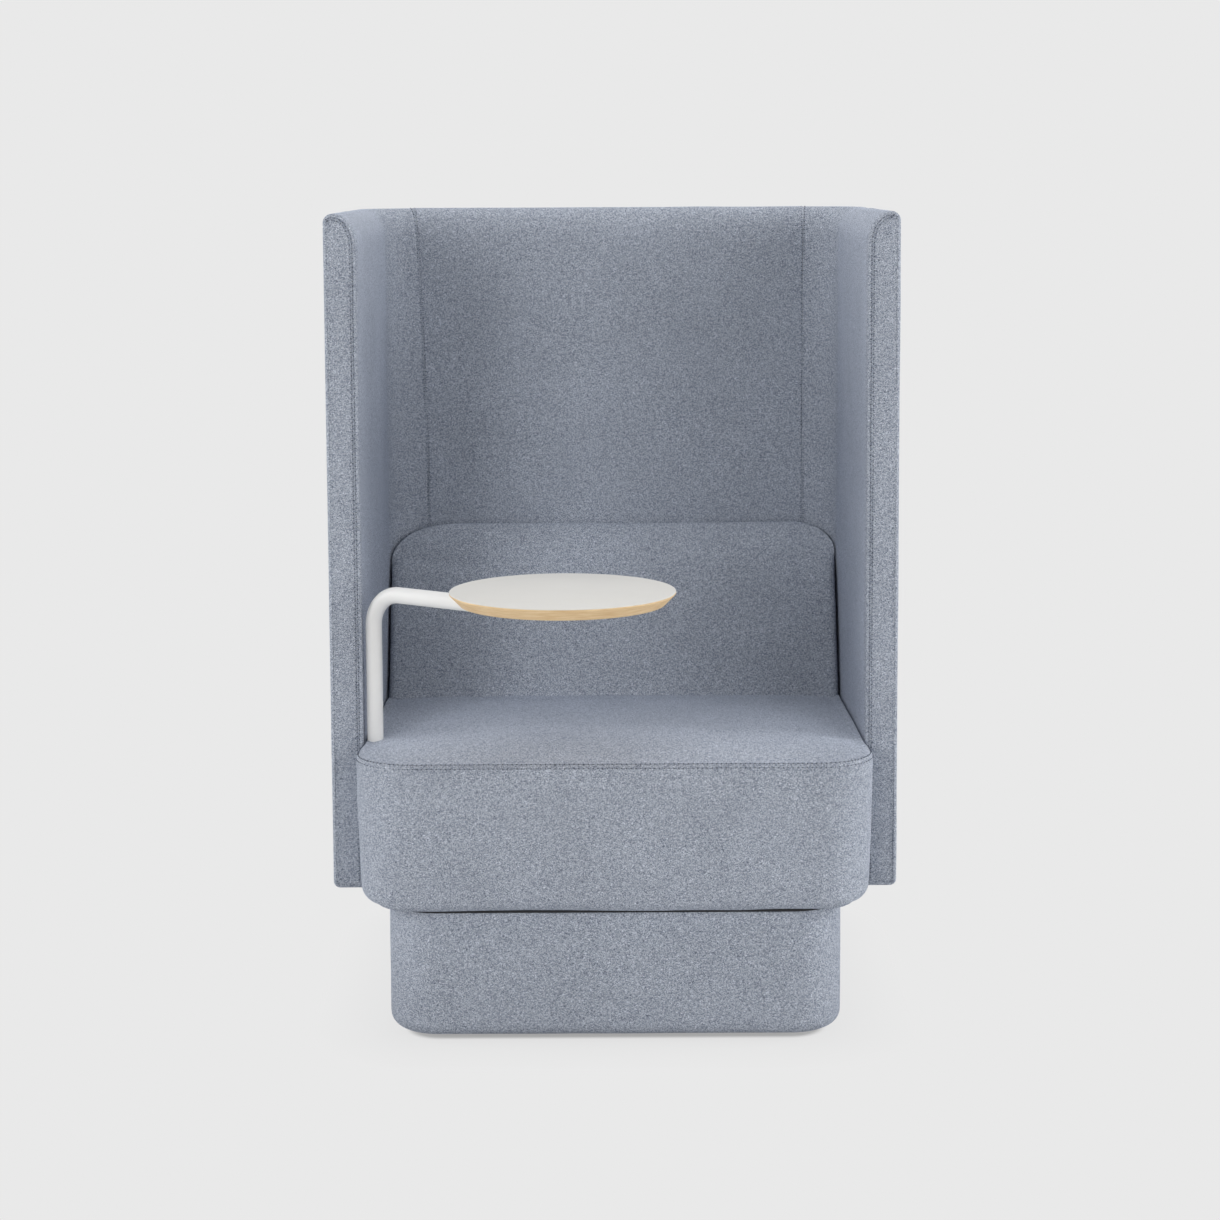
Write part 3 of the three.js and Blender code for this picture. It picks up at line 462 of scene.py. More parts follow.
# The material of each slot
FINISHES = {
    "wool": finish_of("wool_melange", "wool", (0.32, 0.0011), sheen=0.2, gloss=0.2),
    "foam": finish_of("seat_foam", "coat", (0.8, 0.0008), ground=(217, 209, 184), grain_size=420,
                      roughness=0.9, marks=0.1),
    "pine": finish_of("pine_rail", "grain", (0.3, 0.0005), ground=(216, 184, 134), dark_grain=(176, 134, 84)),
    "plywood": finish_of("plywood_board", "grain", (0.25, 0.0004), ground=(206, 176, 128),
                         dark_grain=(164, 126, 82), turn=upright),
    "birch_edge": finish_of("tablet_edge_wood", "grain", (0.15, 0.0003), ground=(236, 208, 164),
                            dark_grain=(206, 168, 118), contrast=0.7, turn=round_the_rim),
    "webbing": finish_of("elastic_strap", "woven", (0.5, 0.0006)),
    "lining": finish_of("dust_lining", "woven", (0.4, 0.0003), ground=(34, 36, 39), thread=(58, 60, 64),
                        threads=5200),
    "nylon": finish_of("bush_nylon", "coat", (0.2, 0.0002), ground=(228, 226, 218), roughness=0.5),
    "black_plastic": finish_of("moulded_plastic", "coat", (0.35, 0.0003), ground=(40, 41, 44),
                               grain_size=1500, roughness=0.55, marks=0.04),
    "plain_steel": finish_of("plain_steel", "brushed", (0.2, 0.0002), metallic=1),
    "white_steel": finish_of("white_powder_coat", "coat", (0.22, 0.00025), ground=(237, 237, 236),
                             grain_size=1300, roughness=0.42, marks=0.02),
    "laminate": finish_of("tablet_laminate", "coat", (0.1, 0.0001), ground=(226, 224, 219),
                          grain_size=2200, roughness=0.48, marks=0.015),
}


# Rows of stitches and sets of fixings, made by Geometry Nodes
def geometry_tree(name, **kinds):
    shape = {"Geometry": "Geometry"}
    return new_tree(name, "GeometryNodeTree", {**shape, **labelled(kinds)}, shape)


def copies_on(points, shape, rotation, scale=(1, 1, 1)):
    inputs = {"Points": points, "Instance": shape, "Rotation": rotation, "Scale": scale}
    return out("GeometryNodeRealizeInstances", {0: out("GeometryNodeInstanceOnPoints", inputs)})


def beads_on(points, rotation, length, radius, sides, rings, material):
    """Long beads of a material on points."""
    bead = out("GeometryNodeMeshUVSphere", {"Segments": sides, "Rings": rings}, points.id_data)
    size = out("ShaderNodeCombineXYZ", {"X": times(length, 0.5), "Y": radius, "Z": radius})
    beads = copies_on(points, bead, rotation, size)
    return out("GeometryNodeSetMaterial", {"Geometry": beads, "Material": material})


def stitch_tree():
    """Stitches along a row, with a bead of painted shade at a needle hole between each two."""
    tree, source = geometry_tree("stitch_row", pitch="Float", stitch_length="Float", thread_radius="Float",
                                 hole_radius="Float", thread_material="Material", hole_material="Material")
    path = out("GeometryNodeMeshToCurve", {"Mesh": source["Geometry"]})
    row = out("GeometryNodeResampleCurve", {"Curve": path, "Length": source["Pitch"]}, mode="LENGTH")
    tangent = out("GeometryNodeInputTangent", tree=tree)
    aim = out("FunctionNodeAlignRotationToVector", {"Vector": tangent}, axis="X")
    length, radius = source["Stitch Length"], source["Thread Radius"]
    stitches = beads_on(row, aim, length, radius, 8, 5, source["Thread Material"])
    step = out("ShaderNodeVectorMath", {0: tangent, "Scale": times(source["Pitch"], 0.5)}, operation="SCALE")
    shifted = out("GeometryNodeSetPosition", {"Geometry": row, "Offset": step})
    width = times(source["Hole Radius"], 2.4)
    # Each hole is a bead in the dark hole material, painted shade for the needle hole
    holes = beads_on(shifted, aim, width, source["Hole Radius"], 6, 4, source["Hole Material"])
    both = node("GeometryNodeJoinGeometry", {0: stitches})
    feed(both, {0: holes})
    return node("NodeGroupOutput", {"Geometry": both.outputs[0]}).id_data


def fixing_tree():
    """A fixing on each point, each turned further than the one before."""
    tree, source = geometry_tree("set_of_fixings", fixing="Object", turn="Float")
    shape = node("GeometryNodeObjectInfo", {"Object": source["Fixing"]}, transform_space="ORIGINAL")
    points = out("GeometryNodeMeshToPoints", {"Mesh": source["Geometry"]})
    angle = times(out("GeometryNodeInputIndex", tree=tree), source["Turn"])
    spin = out("ShaderNodeCombineXYZ", {"Z": angle})
    return node("NodeGroupOutput", {"Geometry": copies_on(points, shape.outputs["Geometry"], spin)}).id_data


STITCHES = stitch_tree()
FIXINGS = fixing_tree()


def grown(name, verts, edges, tree, **values):
    """The plain mesh that a Geometry Nodes tree makes of points and edges."""
    base = new_mesh(name + "_base", verts, edges=edges, smooth=False)
    modifier = base.modifiers.new("grow", "NODES")
    modifier.node_group = tree
    for key, value in labelled(values).items():
        modifier[tree.interface.items_tree[key].identifier] = value
    bpy.context.view_layer.update()
    mesh = settled(base)
    bpy.data.objects.remove(base)
    mesh.name = name
    mesh.shade_smooth()
    return put(name, mesh)


def stitch_rows(name, rows, hole=0.0008):
    """Stitches along each row of points on the chair."""
    verts, edges = [], []
    for row in rows:
        edges += [(len(verts) + i, len(verts) + i + 1) for i in range(len(row) - 1)]
        verts += list(row)
    piece = grown(name, verts, edges, STITCHES, pitch=0.007, stitch_length=0.0046, thread_radius=0.0006,
                  hole_radius=hole, thread_material=thread, hole_material=needle_hole)
    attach(piece, "chair")


def dress(piece, slot, body, nodes=()):
    """Gives a finished piece the material of its slot, hides the frame's nodes that it stands for and puts it
    on the body that it rides on.
    """
    piece.data.materials.clear()
    piece.data.materials.append(FINISHES[slot])
    if nodes:
        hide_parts(*nodes)
    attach(piece, body)


# Shell wall
# A place on the wall is s, the length along its inner face from the left wing's front, u into it, and z.
def shell_plan(s, u):
    """(x, y) of a place on the wall."""
    reach = CORNER_RADIUS + u
    if s <= WING_RUN:
        return -INNER_HALF - u, WING_FRONT + s
    if s <= LEFT_SEAM:
        turn = (s - WING_RUN) / CORNER_RADIUS
        return -BACK_HALF - reach * cos(turn), WING_FRONT + WING_RUN + reach * sin(turn)
    if s <= RIGHT_SEAM:
        return s - LEFT_SEAM - BACK_HALF, INNER_BACK + u
    turn = (s - RIGHT_SEAM) / CORNER_RADIUS
    return BACK_HALF + reach * sin(turn), WING_FRONT + WING_RUN + reach * cos(turn)


CORNER_STEPS = 4
FACE_STEPS = 52
TOP_STEPS = 14
BASE_STEPS = 8
SIDE_STEPS = CORNER_STEPS + FACE_STEPS + TOP_STEPS
BASE_INNER_RADIUS = 0.005
BASE_OUTER_RADIUS = 0.010
LEAST_RADIUS = 0.0006
# The seam along the outside just under the top: its place, its rows of points, half its width and its depth
OUTER_SEAM_DROP = 0.006
OUTER_SEAM_ROWS = (0.009, 0.0072, 0.0066, 0.006, 0.0054, 0.0048, 0.003)
OUTER_SEAM_HALF = 0.0011
OUTER_SEAM_DEPTH = 0.0009


def wall_sides(inset):
    """The inner and the outer side of the wall's outline as (u, z) points from the bottom to the top."""
    low, high = SHELL_BOTTOM + inset, TOP_HEIGHT - inset
    inner_foot = max(BASE_INNER_RADIUS - inset, LEAST_RADIUS)
    outer_foot = max(BASE_OUTER_RADIUS - inset, LEAST_RADIUS)
    outer_top = max(TOP_OUTER_RADIUS - inset, LEAST_RADIUS)
    inner = arc_points((inset + inner_foot, low + inner_foot), (inner_foot, inner_foot),
                       1.5 * pi, pi, CORNER_STEPS)
    foot = inner[-1][1]
    shoulder = TOP_HEIGHT - TOP_INNER_DROP
    inner += [(inset, foot + (shoulder - foot) * i / FACE_STEPS) for i in range(1, FACE_STEPS)]
    inner += arc_points((TOP_INNER_RUN, shoulder), (TOP_INNER_RUN - inset, TOP_INNER_DROP - inset),
                        pi, pi / 2, TOP_STEPS)
    side = WALL - inset
    outer = arc_points((side - outer_foot, low + outer_foot), (outer_foot, outer_foot),
                       -pi / 2, 0, CORNER_STEPS)
    foot = outer[-1][1]
    top = TOP_HEIGHT - TOP_OUTER_RADIUS
    rows = [top - drop for drop in OUTER_SEAM_ROWS]
    plain = FACE_STEPS - len(rows)
    for z in [foot + (rows[0] - foot) * i / plain for i in range(1, plain)] + rows:
        sunk = max(0.0, 1 - abs(top - OUTER_SEAM_DROP - z) / OUTER_SEAM_HALF) * OUTER_SEAM_DEPTH
        outer.append((side - sunk, z))
    outer += arc_points((side - outer_top, high - outer_top), (outer_top, outer_top), 0, pi / 2, TOP_STEPS)
    return inner, outer


def wall_outline(inset):
    """The whole outline: up the inner side, down the outer side and back along the base."""
    inner, outer = wall_sides(inset)
    (u0, z0), (u1, z1) = outer[0], inner[0]
    base = [(u0 + (u1 - u0) * i / BASE_STEPS, z0) for i in range(1, BASE_STEPS)]
    return inner + outer[-2::-1] + base


def left_lean(z):
    """How far the left back seam leans along the wall at a height."""
    share = min(max((TOP_HEIGHT - z) / 0.46, 0.0), 1.0)
    return -0.012 + 0.018 * share ** 0.7


def right_lean(z):
    return 0.004


# A back seam: how far the panels dip into it, half its gap, their edges' rounding and its stitches' distance
SEAM_DIP = 0.0006
SEAM_GAP = 0.00008
SEAM_ROUND = 0.0012
SEAM_ROWS = 0.0021
# A wing's front: the rounding of its edge, and the seam round its strip as (inset, depth), outwards
EDGE_RADIUS = 0.006
STRIP_SEAM = 0.0078
STRIP_GROOVE = ((0.0105, 0.0), (0.0089, 0.0), (0.0084, 0.0004), (STRIP_SEAM, 0.0010), (0.0072, 0.0004),
                (0.0067, 0.0))


def wall_ring(s, outline, lean, weight):
    """The outline at a length along the wall, leant as the nearest seam leans, by weight."""
    return [(*shell_plan(s + weight * lean(z), u), z) for u, z in outline]


def seam_end_rings(s_seam, lean, side):
    """Rings that round the panel down into a seam at path length s_seam; side is the way the panel lies."""
    rings = []
    for i in range(6):
        angle = pi / 2 * i / 5
        depth = SEAM_ROUND * (1 - sin(angle)) + SEAM_GAP
        inset = SEAM_DIP * (1 - cos(angle))
        rings.append(wall_ring(s_seam + side * depth, wall_outline(inset), lean, 1.0))
    return rings


def wing_piece(name, lean):
    """A left wing with its corner, closed at the front by its strip and at the back seam."""
    rings = []
    for inset, sunk in STRIP_GROOVE:
        ring = wall_ring(0.0, wall_outline(inset), lean, 0.0)
        for j, (x, y, z) in enumerate(ring):
            along = 1.0 if CORNER_STEPS <= j <= SIDE_STEPS else max(0.0, 1 - abs(j - SIDE_STEPS) / 6)
            ring[j] = (x, y + sunk * along, z)
        rings.append(ring)
    for i in range(6, -1, -1):
        angle = pi / 2 * (1 - i / 6)
        outline = wall_outline(EDGE_RADIUS * (1 - cos(angle)))
        rings.append(wall_ring(EDGE_RADIUS * (1 - sin(angle)), outline, lean, 0.0))
    length = LEFT_SEAM - 0.005 - EDGE_RADIUS
    steps = 58
    for i in range(1, steps):
        share = i / steps
        weight = max(0.0, (share - 0.55) / 0.45)
        rings.append(wall_ring(EDGE_RADIUS + length * share, wall_outline(0.0), lean, weight ** 2))
    rings += seam_end_rings(LEFT_SEAM, lean, -1)
    count = len(rings[0])
    total = len(rings) * count
    verts = [point for ring in rings for point in ring]
    faces = ring_faces(len(rings), count) + strip_faces(verts, count)
    faces.append(tuple(range(total - count, total)))
    return new_mesh(name, verts, faces)


def strip_faces(verts, count):
    """Fills the front of the wing between its two sides; the ring there comes first in verts."""
    faces = []
    rows = [[0] + list(range(count - 1, count - BASE_STEPS, -1)) + [2 * SIDE_STEPS]]
    for inner in range(1, SIDE_STEPS):
        outer = 2 * SIDE_STEPS - inner
        a, b = Vector(verts[inner]), Vector(verts[outer])
        row = [inner]
        for i in range(1, BASE_STEPS):
            share = i / BASE_STEPS
            point = a.lerp(b, share)
            point.y -= 0.0012 * sin(pi * share)
            row.append(len(verts))
            verts.append(tuple(point))
        row.append(outer)
        rows.append(row)
    for low, high in zip(rows, rows[1:]):
        faces += [(low[i], low[i + 1], high[i + 1], high[i]) for i in range(BASE_STEPS)]
    faces += [(rows[-1][i], rows[-1][i + 1], SIDE_STEPS) for i in range(BASE_STEPS)]
    return faces


def back_piece(name):
    """The back between its two seams, each as leant as the wings' edge there."""
    rings = seam_end_rings(LEFT_SEAM, left_lean, 1)[::-1]
    run = RIGHT_SEAM - LEFT_SEAM - 0.010
    steps = 60
    for i in range(1, steps):
        share = i / steps
        left, right = max(0.0, 1 - share * 4) ** 2, max(0.0, share * 4 - 3) ** 2
        rings.append(wall_ring(LEFT_SEAM + 0.005 + run * share, wall_outline(0.0),
                               lambda z: left_lean(z) * left + right_lean(z) * right, 1.0))
    return loft(name, rings + seam_end_rings(RIGHT_SEAM, right_lean, -1))


def build_shell():
    left = face_outwards(wing_piece("wing_left", left_lean))
    right = moved(wing_piece("wing_right", lambda z: -right_lean(z)), Matrix.Scale(-1, 4, (1, 0, 0)))
    back = back_piece("back_panel")
    for piece, seed in ((left, 1.0), (face_outwards(right), 2.0), (back, 3.0)):
        crumple(piece, 0.0007, 0.11, seed)
    for piece, side in ((left, "left"), (right, "right")):
        names = ("wing_foam_", "inner_cover_", "outer_cover_", "front_strip_")
        dress(piece, "wool", "chair", [name + side for name in names])
    dress(back, "wool", "chair", ("back_foam", "inner_cover_back", "outer_cover_back"))
    strip_stitches()
    corner_stitches()


def strip_stitches():
    """Two rows of stitches beside the seam on the front of each wing, up and over its inner top edge."""
    rows = []
    for inset in (STRIP_SEAM - 0.0019, STRIP_SEAM + 0.0019):
        inner, outer = wall_sides(inset)
        depth = EDGE_RADIUS - sqrt(EDGE_RADIUS ** 2 - max(0.0, EDGE_RADIUS - inset) ** 2)
        rows.append([(u, WING_FRONT + depth - 0.0002, z) for u, z in inner[CORNER_STEPS:] + outer[-2:-8:-1]])
    for side, name in ((-1, "strip_stitches_left"), (1, "strip_stitches_right")):
        stitch_rows(name, [[(side * (INNER_HALF + u), y, z) for u, y, z in row] for row in rows])


def corner_stitches():
    """Rows of stitches on both sides of the two back seams, inside and outside."""
    inner, outer = wall_sides(0.0003)
    line = inner[CORNER_STEPS:] + outer[-2:CORNER_STEPS:-1]
    for name, s_seam, lean in (("back_stitches_left", LEFT_SEAM, left_lean),
                               ("back_stitches_right", RIGHT_SEAM, right_lean)):
        rows = [wall_ring(s_seam + offset, line, lean, 1.0) for offset in (-SEAM_ROWS, SEAM_ROWS)]
        stitch_rows(name, rows, hole=0.0009)


def rounded_plan(half, front, rear, front_radius, rear_radius, count):
    """Evenly spaced outline of a rounded block, from the middle of its front round to the right."""
    path = [(0.0, front)]
    corners = ((1, front + front_radius, front_radius), (1, rear - rear_radius, rear_radius))
    corners += tuple((-1, y, r) for _, y, r in corners[::-1])
    for i, (side, y, r) in enumerate(corners):
        path += arc_points((side * (half - r), y), (r, r), (i - 1) * pi / 2, i * pi / 2, 24)
    path.append((0.0, front))
    points = np.array(path)
    lengths = np.concatenate([[0], np.cumsum(np.linalg.norm(np.diff(points, axis=0), axis=1))])
    marks = np.linspace(0, lengths[-1], count, endpoint=False)
    return np.column_stack([np.interp(marks, lengths, line) for line in points.T])


def ease(share):
    """Runs softly from 0 to 1."""
    share = np.clip(share, 0, 1)
    return share * share * (3 - 2 * share)


# Seat block
SEAT_FOOT_RADIUS = 0.025
SEAT_TAPER = 0.005
# The seam round the top, as (height over it, inset)
SEAT_GROOVE = ((-0.0045, -0.0004), (-0.0030, -0.0002), (-0.0018, 0.0001), (-0.0008, 0.0006), (0.0, 0.0013),
               (0.0007, 0.0018), (0.0022, 0.0024), (0.0034, 0.0040), (0.0044, 0.0064))


def seat_plan(inset):
    return rounded_plan(SEAT_HALF - inset, SEAT_FRONT + inset, SEAT_REAR - inset, SEAT_FRONT_RADIUS - inset,
                        SEAT_REAR_RADIUS - inset, 360)


def seat_seam_height(y):
    share = np.clip((y - SEAT_FRONT) / (SEAT_REAR - SEAT_FRONT), 0, 1)
    return SEAT_SEAM - 0.0255 * share ** 1.8


def seat_puff(y):
    """How far the top stands over its seam, less towards the rear."""
    return 0.012 - 0.009 * ease((y - WING_FRONT) / 0.405)


def seat_rings():
    base = seat_plan(0.0)
    middle = np.array([0.0, (SEAT_FRONT + SEAT_REAR) / 2])
    rings = []

    def add(plan, z):
        rings.append(np.column_stack([plan, np.broadcast_to(z, len(plan))]))

    flat = seat_plan(SEAT_TAPER + SEAT_FOOT_RADIUS)
    foot = SEAT_BOTTOM + SEAT_FOOT_RADIUS
    for share in (0.05, 0.35, 0.6, 0.8, 0.92):
        add(middle + (flat - middle) * share, SEAT_BOTTOM)
    for u, z in arc_points((SEAT_TAPER + SEAT_FOOT_RADIUS, foot), (SEAT_FOOT_RADIUS, SEAT_FOOT_RADIUS),
                           -pi / 2, -pi, 8):
        add(seat_plan(u), z)
    for i in range(1, 25):
        share = i / 25
        plan = seat_plan(SEAT_TAPER * (1 - share) ** 2)
        add(plan, foot + (seat_seam_height(plan[:, 1]) - 0.006 - foot) * share)
    for rise, inset in SEAT_GROOVE:
        plan = seat_plan(inset)
        add(plan, seat_seam_height(plan[:, 1]) + rise - 0.0012)
    for share in (0.965, 0.95, 0.93, 0.9, 0.86, 0.81, 0.75, 0.68, 0.6, 0.5, 0.4, 0.3, 0.2, 0.12, 0.05):
        plan = middle + (base - middle) * share
        add(plan, seat_seam_height(plan[:, 1]) + seat_puff(plan[:, 1]) * (1 - share ** 6))
    return rings


def widened(points):
    """In front of the wings nothing holds the seat's sides in, and it swells there by 3.5 mm a side."""
    x, y, z = points.T
    return np.column_stack([x * (1 + 0.0091 * ease((WING_FRONT - 0.005 - y) / 0.055)), y, z])


def sagged(points):
    """The lower front edge of the seat hangs by 3.5 mm, a little wavy, in front of the plinth."""
    x, y, z = points.T
    depth = 0.0035 + 0.0006 * np.sin(x * 17 + 0.6) + 0.0003 * np.sin(x * 41)
    fall = depth * ease((PLINTH_FRONT - 0.003 - y) / 0.012) * ease(1 - (z - SEAT_BOTTOM - 0.008) / 0.07)
    return np.column_stack([x, y, z - fall])


def seat_held(x, y, z):
    """The band and the seam stay where they are, and so does the rear that the lumbar cushion covers."""
    return z < seat_seam_height(y) + 0.0005 or y > LUMBAR_BACK - 0.13


def build_seat():
    seat = loft("seat_cushion", [sagged(widened(ring)) for ring in seat_rings()])
    swell(seat, 0.010, 0.004, seat_held)
    crumple(seat, 0.0008, 0.09, 5.0)
    dress(seat, "wool", "chair", ("seat_foam", "seat_cover_top", "seat_cover_band"))
    rows = []
    for rise, inset in ((-0.0036, -0.0002), (0.0024, 0.0026)):
        plan = seat_plan(inset)
        plan = np.concatenate([plan, plan[:1]])
        rows.append(widened(np.column_stack([plan, seat_seam_height(plan[:, 1]) + rise - 0.0008])))
    stitch_rows("seat_stitches", rows, hole=0.0009)


# Lumbar cushion, between the wings and a little narrower than its solid
LUMBAR_HALF = 0.3805
LUMBAR_BACK = INNER_BACK - 0.001
LUMBAR_TOP = 0.703
LUMBAR_EDGE = 0.014
LUMBAR_SHOULDER = 0.084


def lumbar_back(x):
    """The y of the cushion's rear at x, which follows the shell's corners."""
    past = max(0.0, abs(x) - BACK_HALF)
    return WING_FRONT + WING_RUN + sqrt(max(0.0, (CORNER_RADIUS - 0.001) ** 2 - past ** 2))


def quarter(share, power=2.0):
    """Falls from 1 to 0 like a quarter of a circle, or fuller with a higher power."""
    return sqrt(max(0.0, 1 - share ** power))


def lumbar_top(x):
    run, drop = (0.115, 0.063) if x < 0 else (0.078, 0.046)
    return LUMBAR_TOP - drop * (1 - quarter(max(0.0, 1 - (LUMBAR_HALF - abs(x)) / run), 2.2))


def lumbar_section(x):
    """Closed outline of the cushion at x: up the front, over the top and down the back."""
    pull = LUMBAR_EDGE * (1 - quarter(max(0.0, 1 - (LUMBAR_HALF - abs(x)) / LUMBAR_EDGE)))
    wall = LUMBAR_BACK - lumbar_back(x)
    rear = wall + LUMBAR_EDGE
    top = lumbar_top(x)
    low = float(seat_seam_height(LUMBAR_BACK)) - 0.006
    start = top - LUMBAR_SHOULDER
    crown = 0.010 * (1 - 0.8 * (x / LUMBAR_HALF) ** 2)

    def face(z, bulge):
        return max(0.157 - 0.417 * (z - 0.421) + bulge - pull, rear)

    points = []
    for i in range(31):
        z = low + (start - low) * i / 30
        points.append((face(z, crown * sin(pi / 2 * i / 30)), z))
    for i in range(1, 22):
        t = sin(pi / 2 * i / 22)
        z = start + LUMBAR_SHOULDER * t
        points.append((rear + (face(z, crown) - rear) * quarter(t, 2.2), z))
    for i in range(5):
        angle = pi / 2 * i / 4
        points.append((wall + LUMBAR_EDGE * (1 - sin(angle)), top - LUMBAR_EDGE * (1 - cos(angle))))
    foot = top - LUMBAR_EDGE
    points += [(wall, foot + (low - foot) * i / 12) for i in range(1, 13)]
    points += [(wall + (face(low, 0.0) - wall) * i / 6, low) for i in range(1, 6)]
    return [(x, LUMBAR_BACK - depth, z) for depth, z in points]


def lumbar_held(x, y, z):
    """The sides, the foot and the rear of the cushion rest on the wings, the seat and the back."""
    return abs(x) > LUMBAR_HALF - 0.010 or z < SEAT_SEAM - 0.010 or y > lumbar_back(x) - 0.006


def build_lumbar():
    edge = [0.0, 0.0006, 0.0018, 0.0036, 0.006, 0.009, 0.0125, 0.0165]
    stations = [e - LUMBAR_HALF for e in edge]
    stations += list(np.linspace(0.0215 - LUMBAR_HALF, LUMBAR_HALF - 0.0215, 110))
    stations += [LUMBAR_HALF - e for e in edge[::-1]]
    cushion = loft("lumbar_cushion", [lumbar_section(x) for x in stations])
    swell(cushion, 0.006, 0.006, lumbar_held)
    crumple(cushion, 0.0011, 0.10, 8.0)
    dress(cushion, "wool", "chair", ("lumbar_foam", "lumbar_cover"))


# Plinth, a dark strip of painted shadow in the joint over it, and the glides under it
def plinth_ring(inset, z):
    plan = rounded_plan(PLINTH_HALF - inset, PLINTH_FRONT + inset, PLINTH_REAR - inset, PLINTH_RADIUS - inset,
                        PLINTH_RADIUS - inset, 320)
    return np.column_stack([plan, np.full(320, z)])


def build_plinth():
    radius, thick, lip = 0.022, 0.0038, 0.005
    foot = PLINTH_BOTTOM + radius
    height = PLINTH_TOP - PLINTH_BOTTOM - radius
    outline = [(0.0, PLINTH_TOP - height * i / 18) for i in range(19)]
    outline += arc_points((radius, foot), (-radius, radius), 0, -pi / 2, 8)[1:]
    outline += [(radius + lip, PLINTH_BOTTOM), (radius + lip, PLINTH_BOTTOM + thick)]
    outline += arc_points((radius, foot), (thick - radius, radius - thick), -pi / 2, 0, 8)
    outline += [(thick, foot + height * i / 6) for i in range(1, 7)]
    skirt = loft("plinth_skirt", [plinth_ring(u, z) for u, z in outline], endless=True)
    crumple(skirt, 0.0005, 0.12, 11.0)
    dress(skirt, "wool", "chair", ("plinth_cover",))


def build_painted_shadow_strip():
    """A dark strip round the top of the plinth, painted shadow for the gap under the seat."""
    out, low, high = 0.0016, PLINTH_TOP - 0.0109, PLINTH_TOP - 0.0001
    outline = [(0.0002, low), (-out, low + 0.0003), (-out, high - 0.0003), (0.0002, high)]
    # Painted shadow: the dark lining material stands in for the shade of the gap between seat and plinth
    dress(loft("joint_strip", [plinth_ring(u, z) for u, z in outline], endless=True), "lining", "chair")


def build_glides():
    pad = turned("glide_shape", [
        (0.0, 0.0, 0), (0.0200, 0.0, 0.0016), (0.0200, 0.0062, 0.0012), (0.0175, 0.0080, 0.0010),
        (0.0088, 0.0080, 0.0004), (0.0080, 0.0100, 0.0004), (0.0050, 0.0100, 0.0004),
        (0.0050, 0.0440, 0.0008), (0.0, 0.0440, 0),
    ], 64)
    for corner in ("front_left", "front_right", "rear_left", "rear_right"):
        low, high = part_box("glide_" + corner)
        centre = ((low[0] + high[0]) / 2, (low[1] + high[1]) / 2, 0.0)
        glide = grown("levelling_glide_" + corner, [centre], [], FIXINGS, fixing=pad)
        dress(glide, "black_plastic", "glide_" + corner, ("glide_" + corner,))
    bpy.data.objects.remove(pad)


# Tablet and its arm, made about the arm's post with the arm along X
TO_BOARD = Matrix.Translation((ARM_REACH, 0, 0))
TUBE_RADIUS = 0.0125
TUBE_WALL = 0.002
TUBE_BEND = 0.050
TUBE_FOOT = 0.2696
PLATE_RADIUS = 0.055


def dress_tablet(piece, slot, *nodes):
    """Takes a piece to its place on the chair and dresses it."""
    moved(piece, Matrix.Translation((*POST, 0)) @ Matrix.Rotation(ARM_TURN, 4, "Z"))
    dress(piece, slot, "tablet", nodes)


def arm_tube():
    sides = 48
    stations = [(0.0, z, 0.0) for z in (TUBE_FOOT, 0.45, 0.5, 0.56)]
    for i in range(25):
        tilt = pi / 2 * i / 24
        stations.append((TUBE_BEND * (1 - cos(tilt)), ARM_AXIS - TUBE_BEND * (1 - sin(tilt)), tilt))
    stations += [(x, ARM_AXIS, pi / 2) for x in (0.12, 0.19, 0.26, ARM_END)]

    def ring(station, size):
        x, z, tilt = station
        turns = [2 * pi * i / sides for i in range(sides)]
        return [(x + size * sin(t) * cos(tilt), size * cos(t), z - size * sin(t) * sin(tilt))
                for t in turns]

    edge = 0.0006
    inner = TUBE_RADIUS - TUBE_WALL
    first, middle, last = stations[0], stations[1:-1], stations[-1]
    rings = [ring(first, TUBE_RADIUS - edge), ring((first[0], first[1] + edge, 0.0), TUBE_RADIUS)]
    rings += [ring(s, TUBE_RADIUS) for s in middle]
    rings += [ring((last[0] - edge, *last[1:]), TUBE_RADIUS), ring(last, TUBE_RADIUS - edge)]
    rings += [ring(s, inner) for s in [last] + middle[::-1] + [first]]
    return loft("arm_tube", rings, endless=True)


def weld_bead(low, side):
    """A fillet of weld along one side of the tube where it meets the plate."""
    sides, steps = 10, 24
    start = ARM_REACH - 0.053
    rings = []
    for i in range(steps + 1):
        x = start + (ARM_END - 0.002 - start) * i / steps
        size = 0.0021 * (1 + 0.12 * sin(i * 2.1))
        turns = [2 * pi * j / sides for j in range(sides)]
        rings.append([(x, side * 0.0062 + size * cos(t), low - 0.0006 + size * 0.8 * sin(t)) for t in turns])
    return loft("weld_bead", rings)


def joined(name, pieces):
    bm = bmesh.new()
    for piece in pieces:
        bm.from_mesh(piece.data)
        bpy.data.objects.remove(piece)
    mesh = bpy.data.meshes.new(name)
    bm.to_mesh(mesh)
    bm.free()
    mesh.shade_smooth()
    return put(name, mesh)


def screw_shape(seat):
    """A pan head screw with a star recess, head down, its head seated under the plate at that height."""
    turns = [2 * pi * i / 48 for i in range(48)]
    outline = [(0.0012, -0.0016, 0.00025), (0.0015, -0.0018, 0.0004), (0.0015, -0.0028, 0.0004),
               (0.0021, -0.00285, 0.0)]
    outline += [(*point, 0.0) for point in
                arc_points((0.0021, -0.0010), (0.00265, 0.00185), -pi / 2, 0, 7)[1:]]
    outline += [(0.00475, -0.0002, 0.0), (0.0047, 0.0, 0.0), (0.0025, 0.0, 0.0), (0.0025, 0.0125, 0.0),
                (0.0006, 0.0140, 0.0)]
    rings = []
    for size, rise, star in outline:
        reach = [size + star * cos(6 * t) for t in turns]
        rings.append([(r * cos(t), r * sin(t), seat + rise) for r, t in zip(reach, turns)])
    return loft("screw_shape", rings)


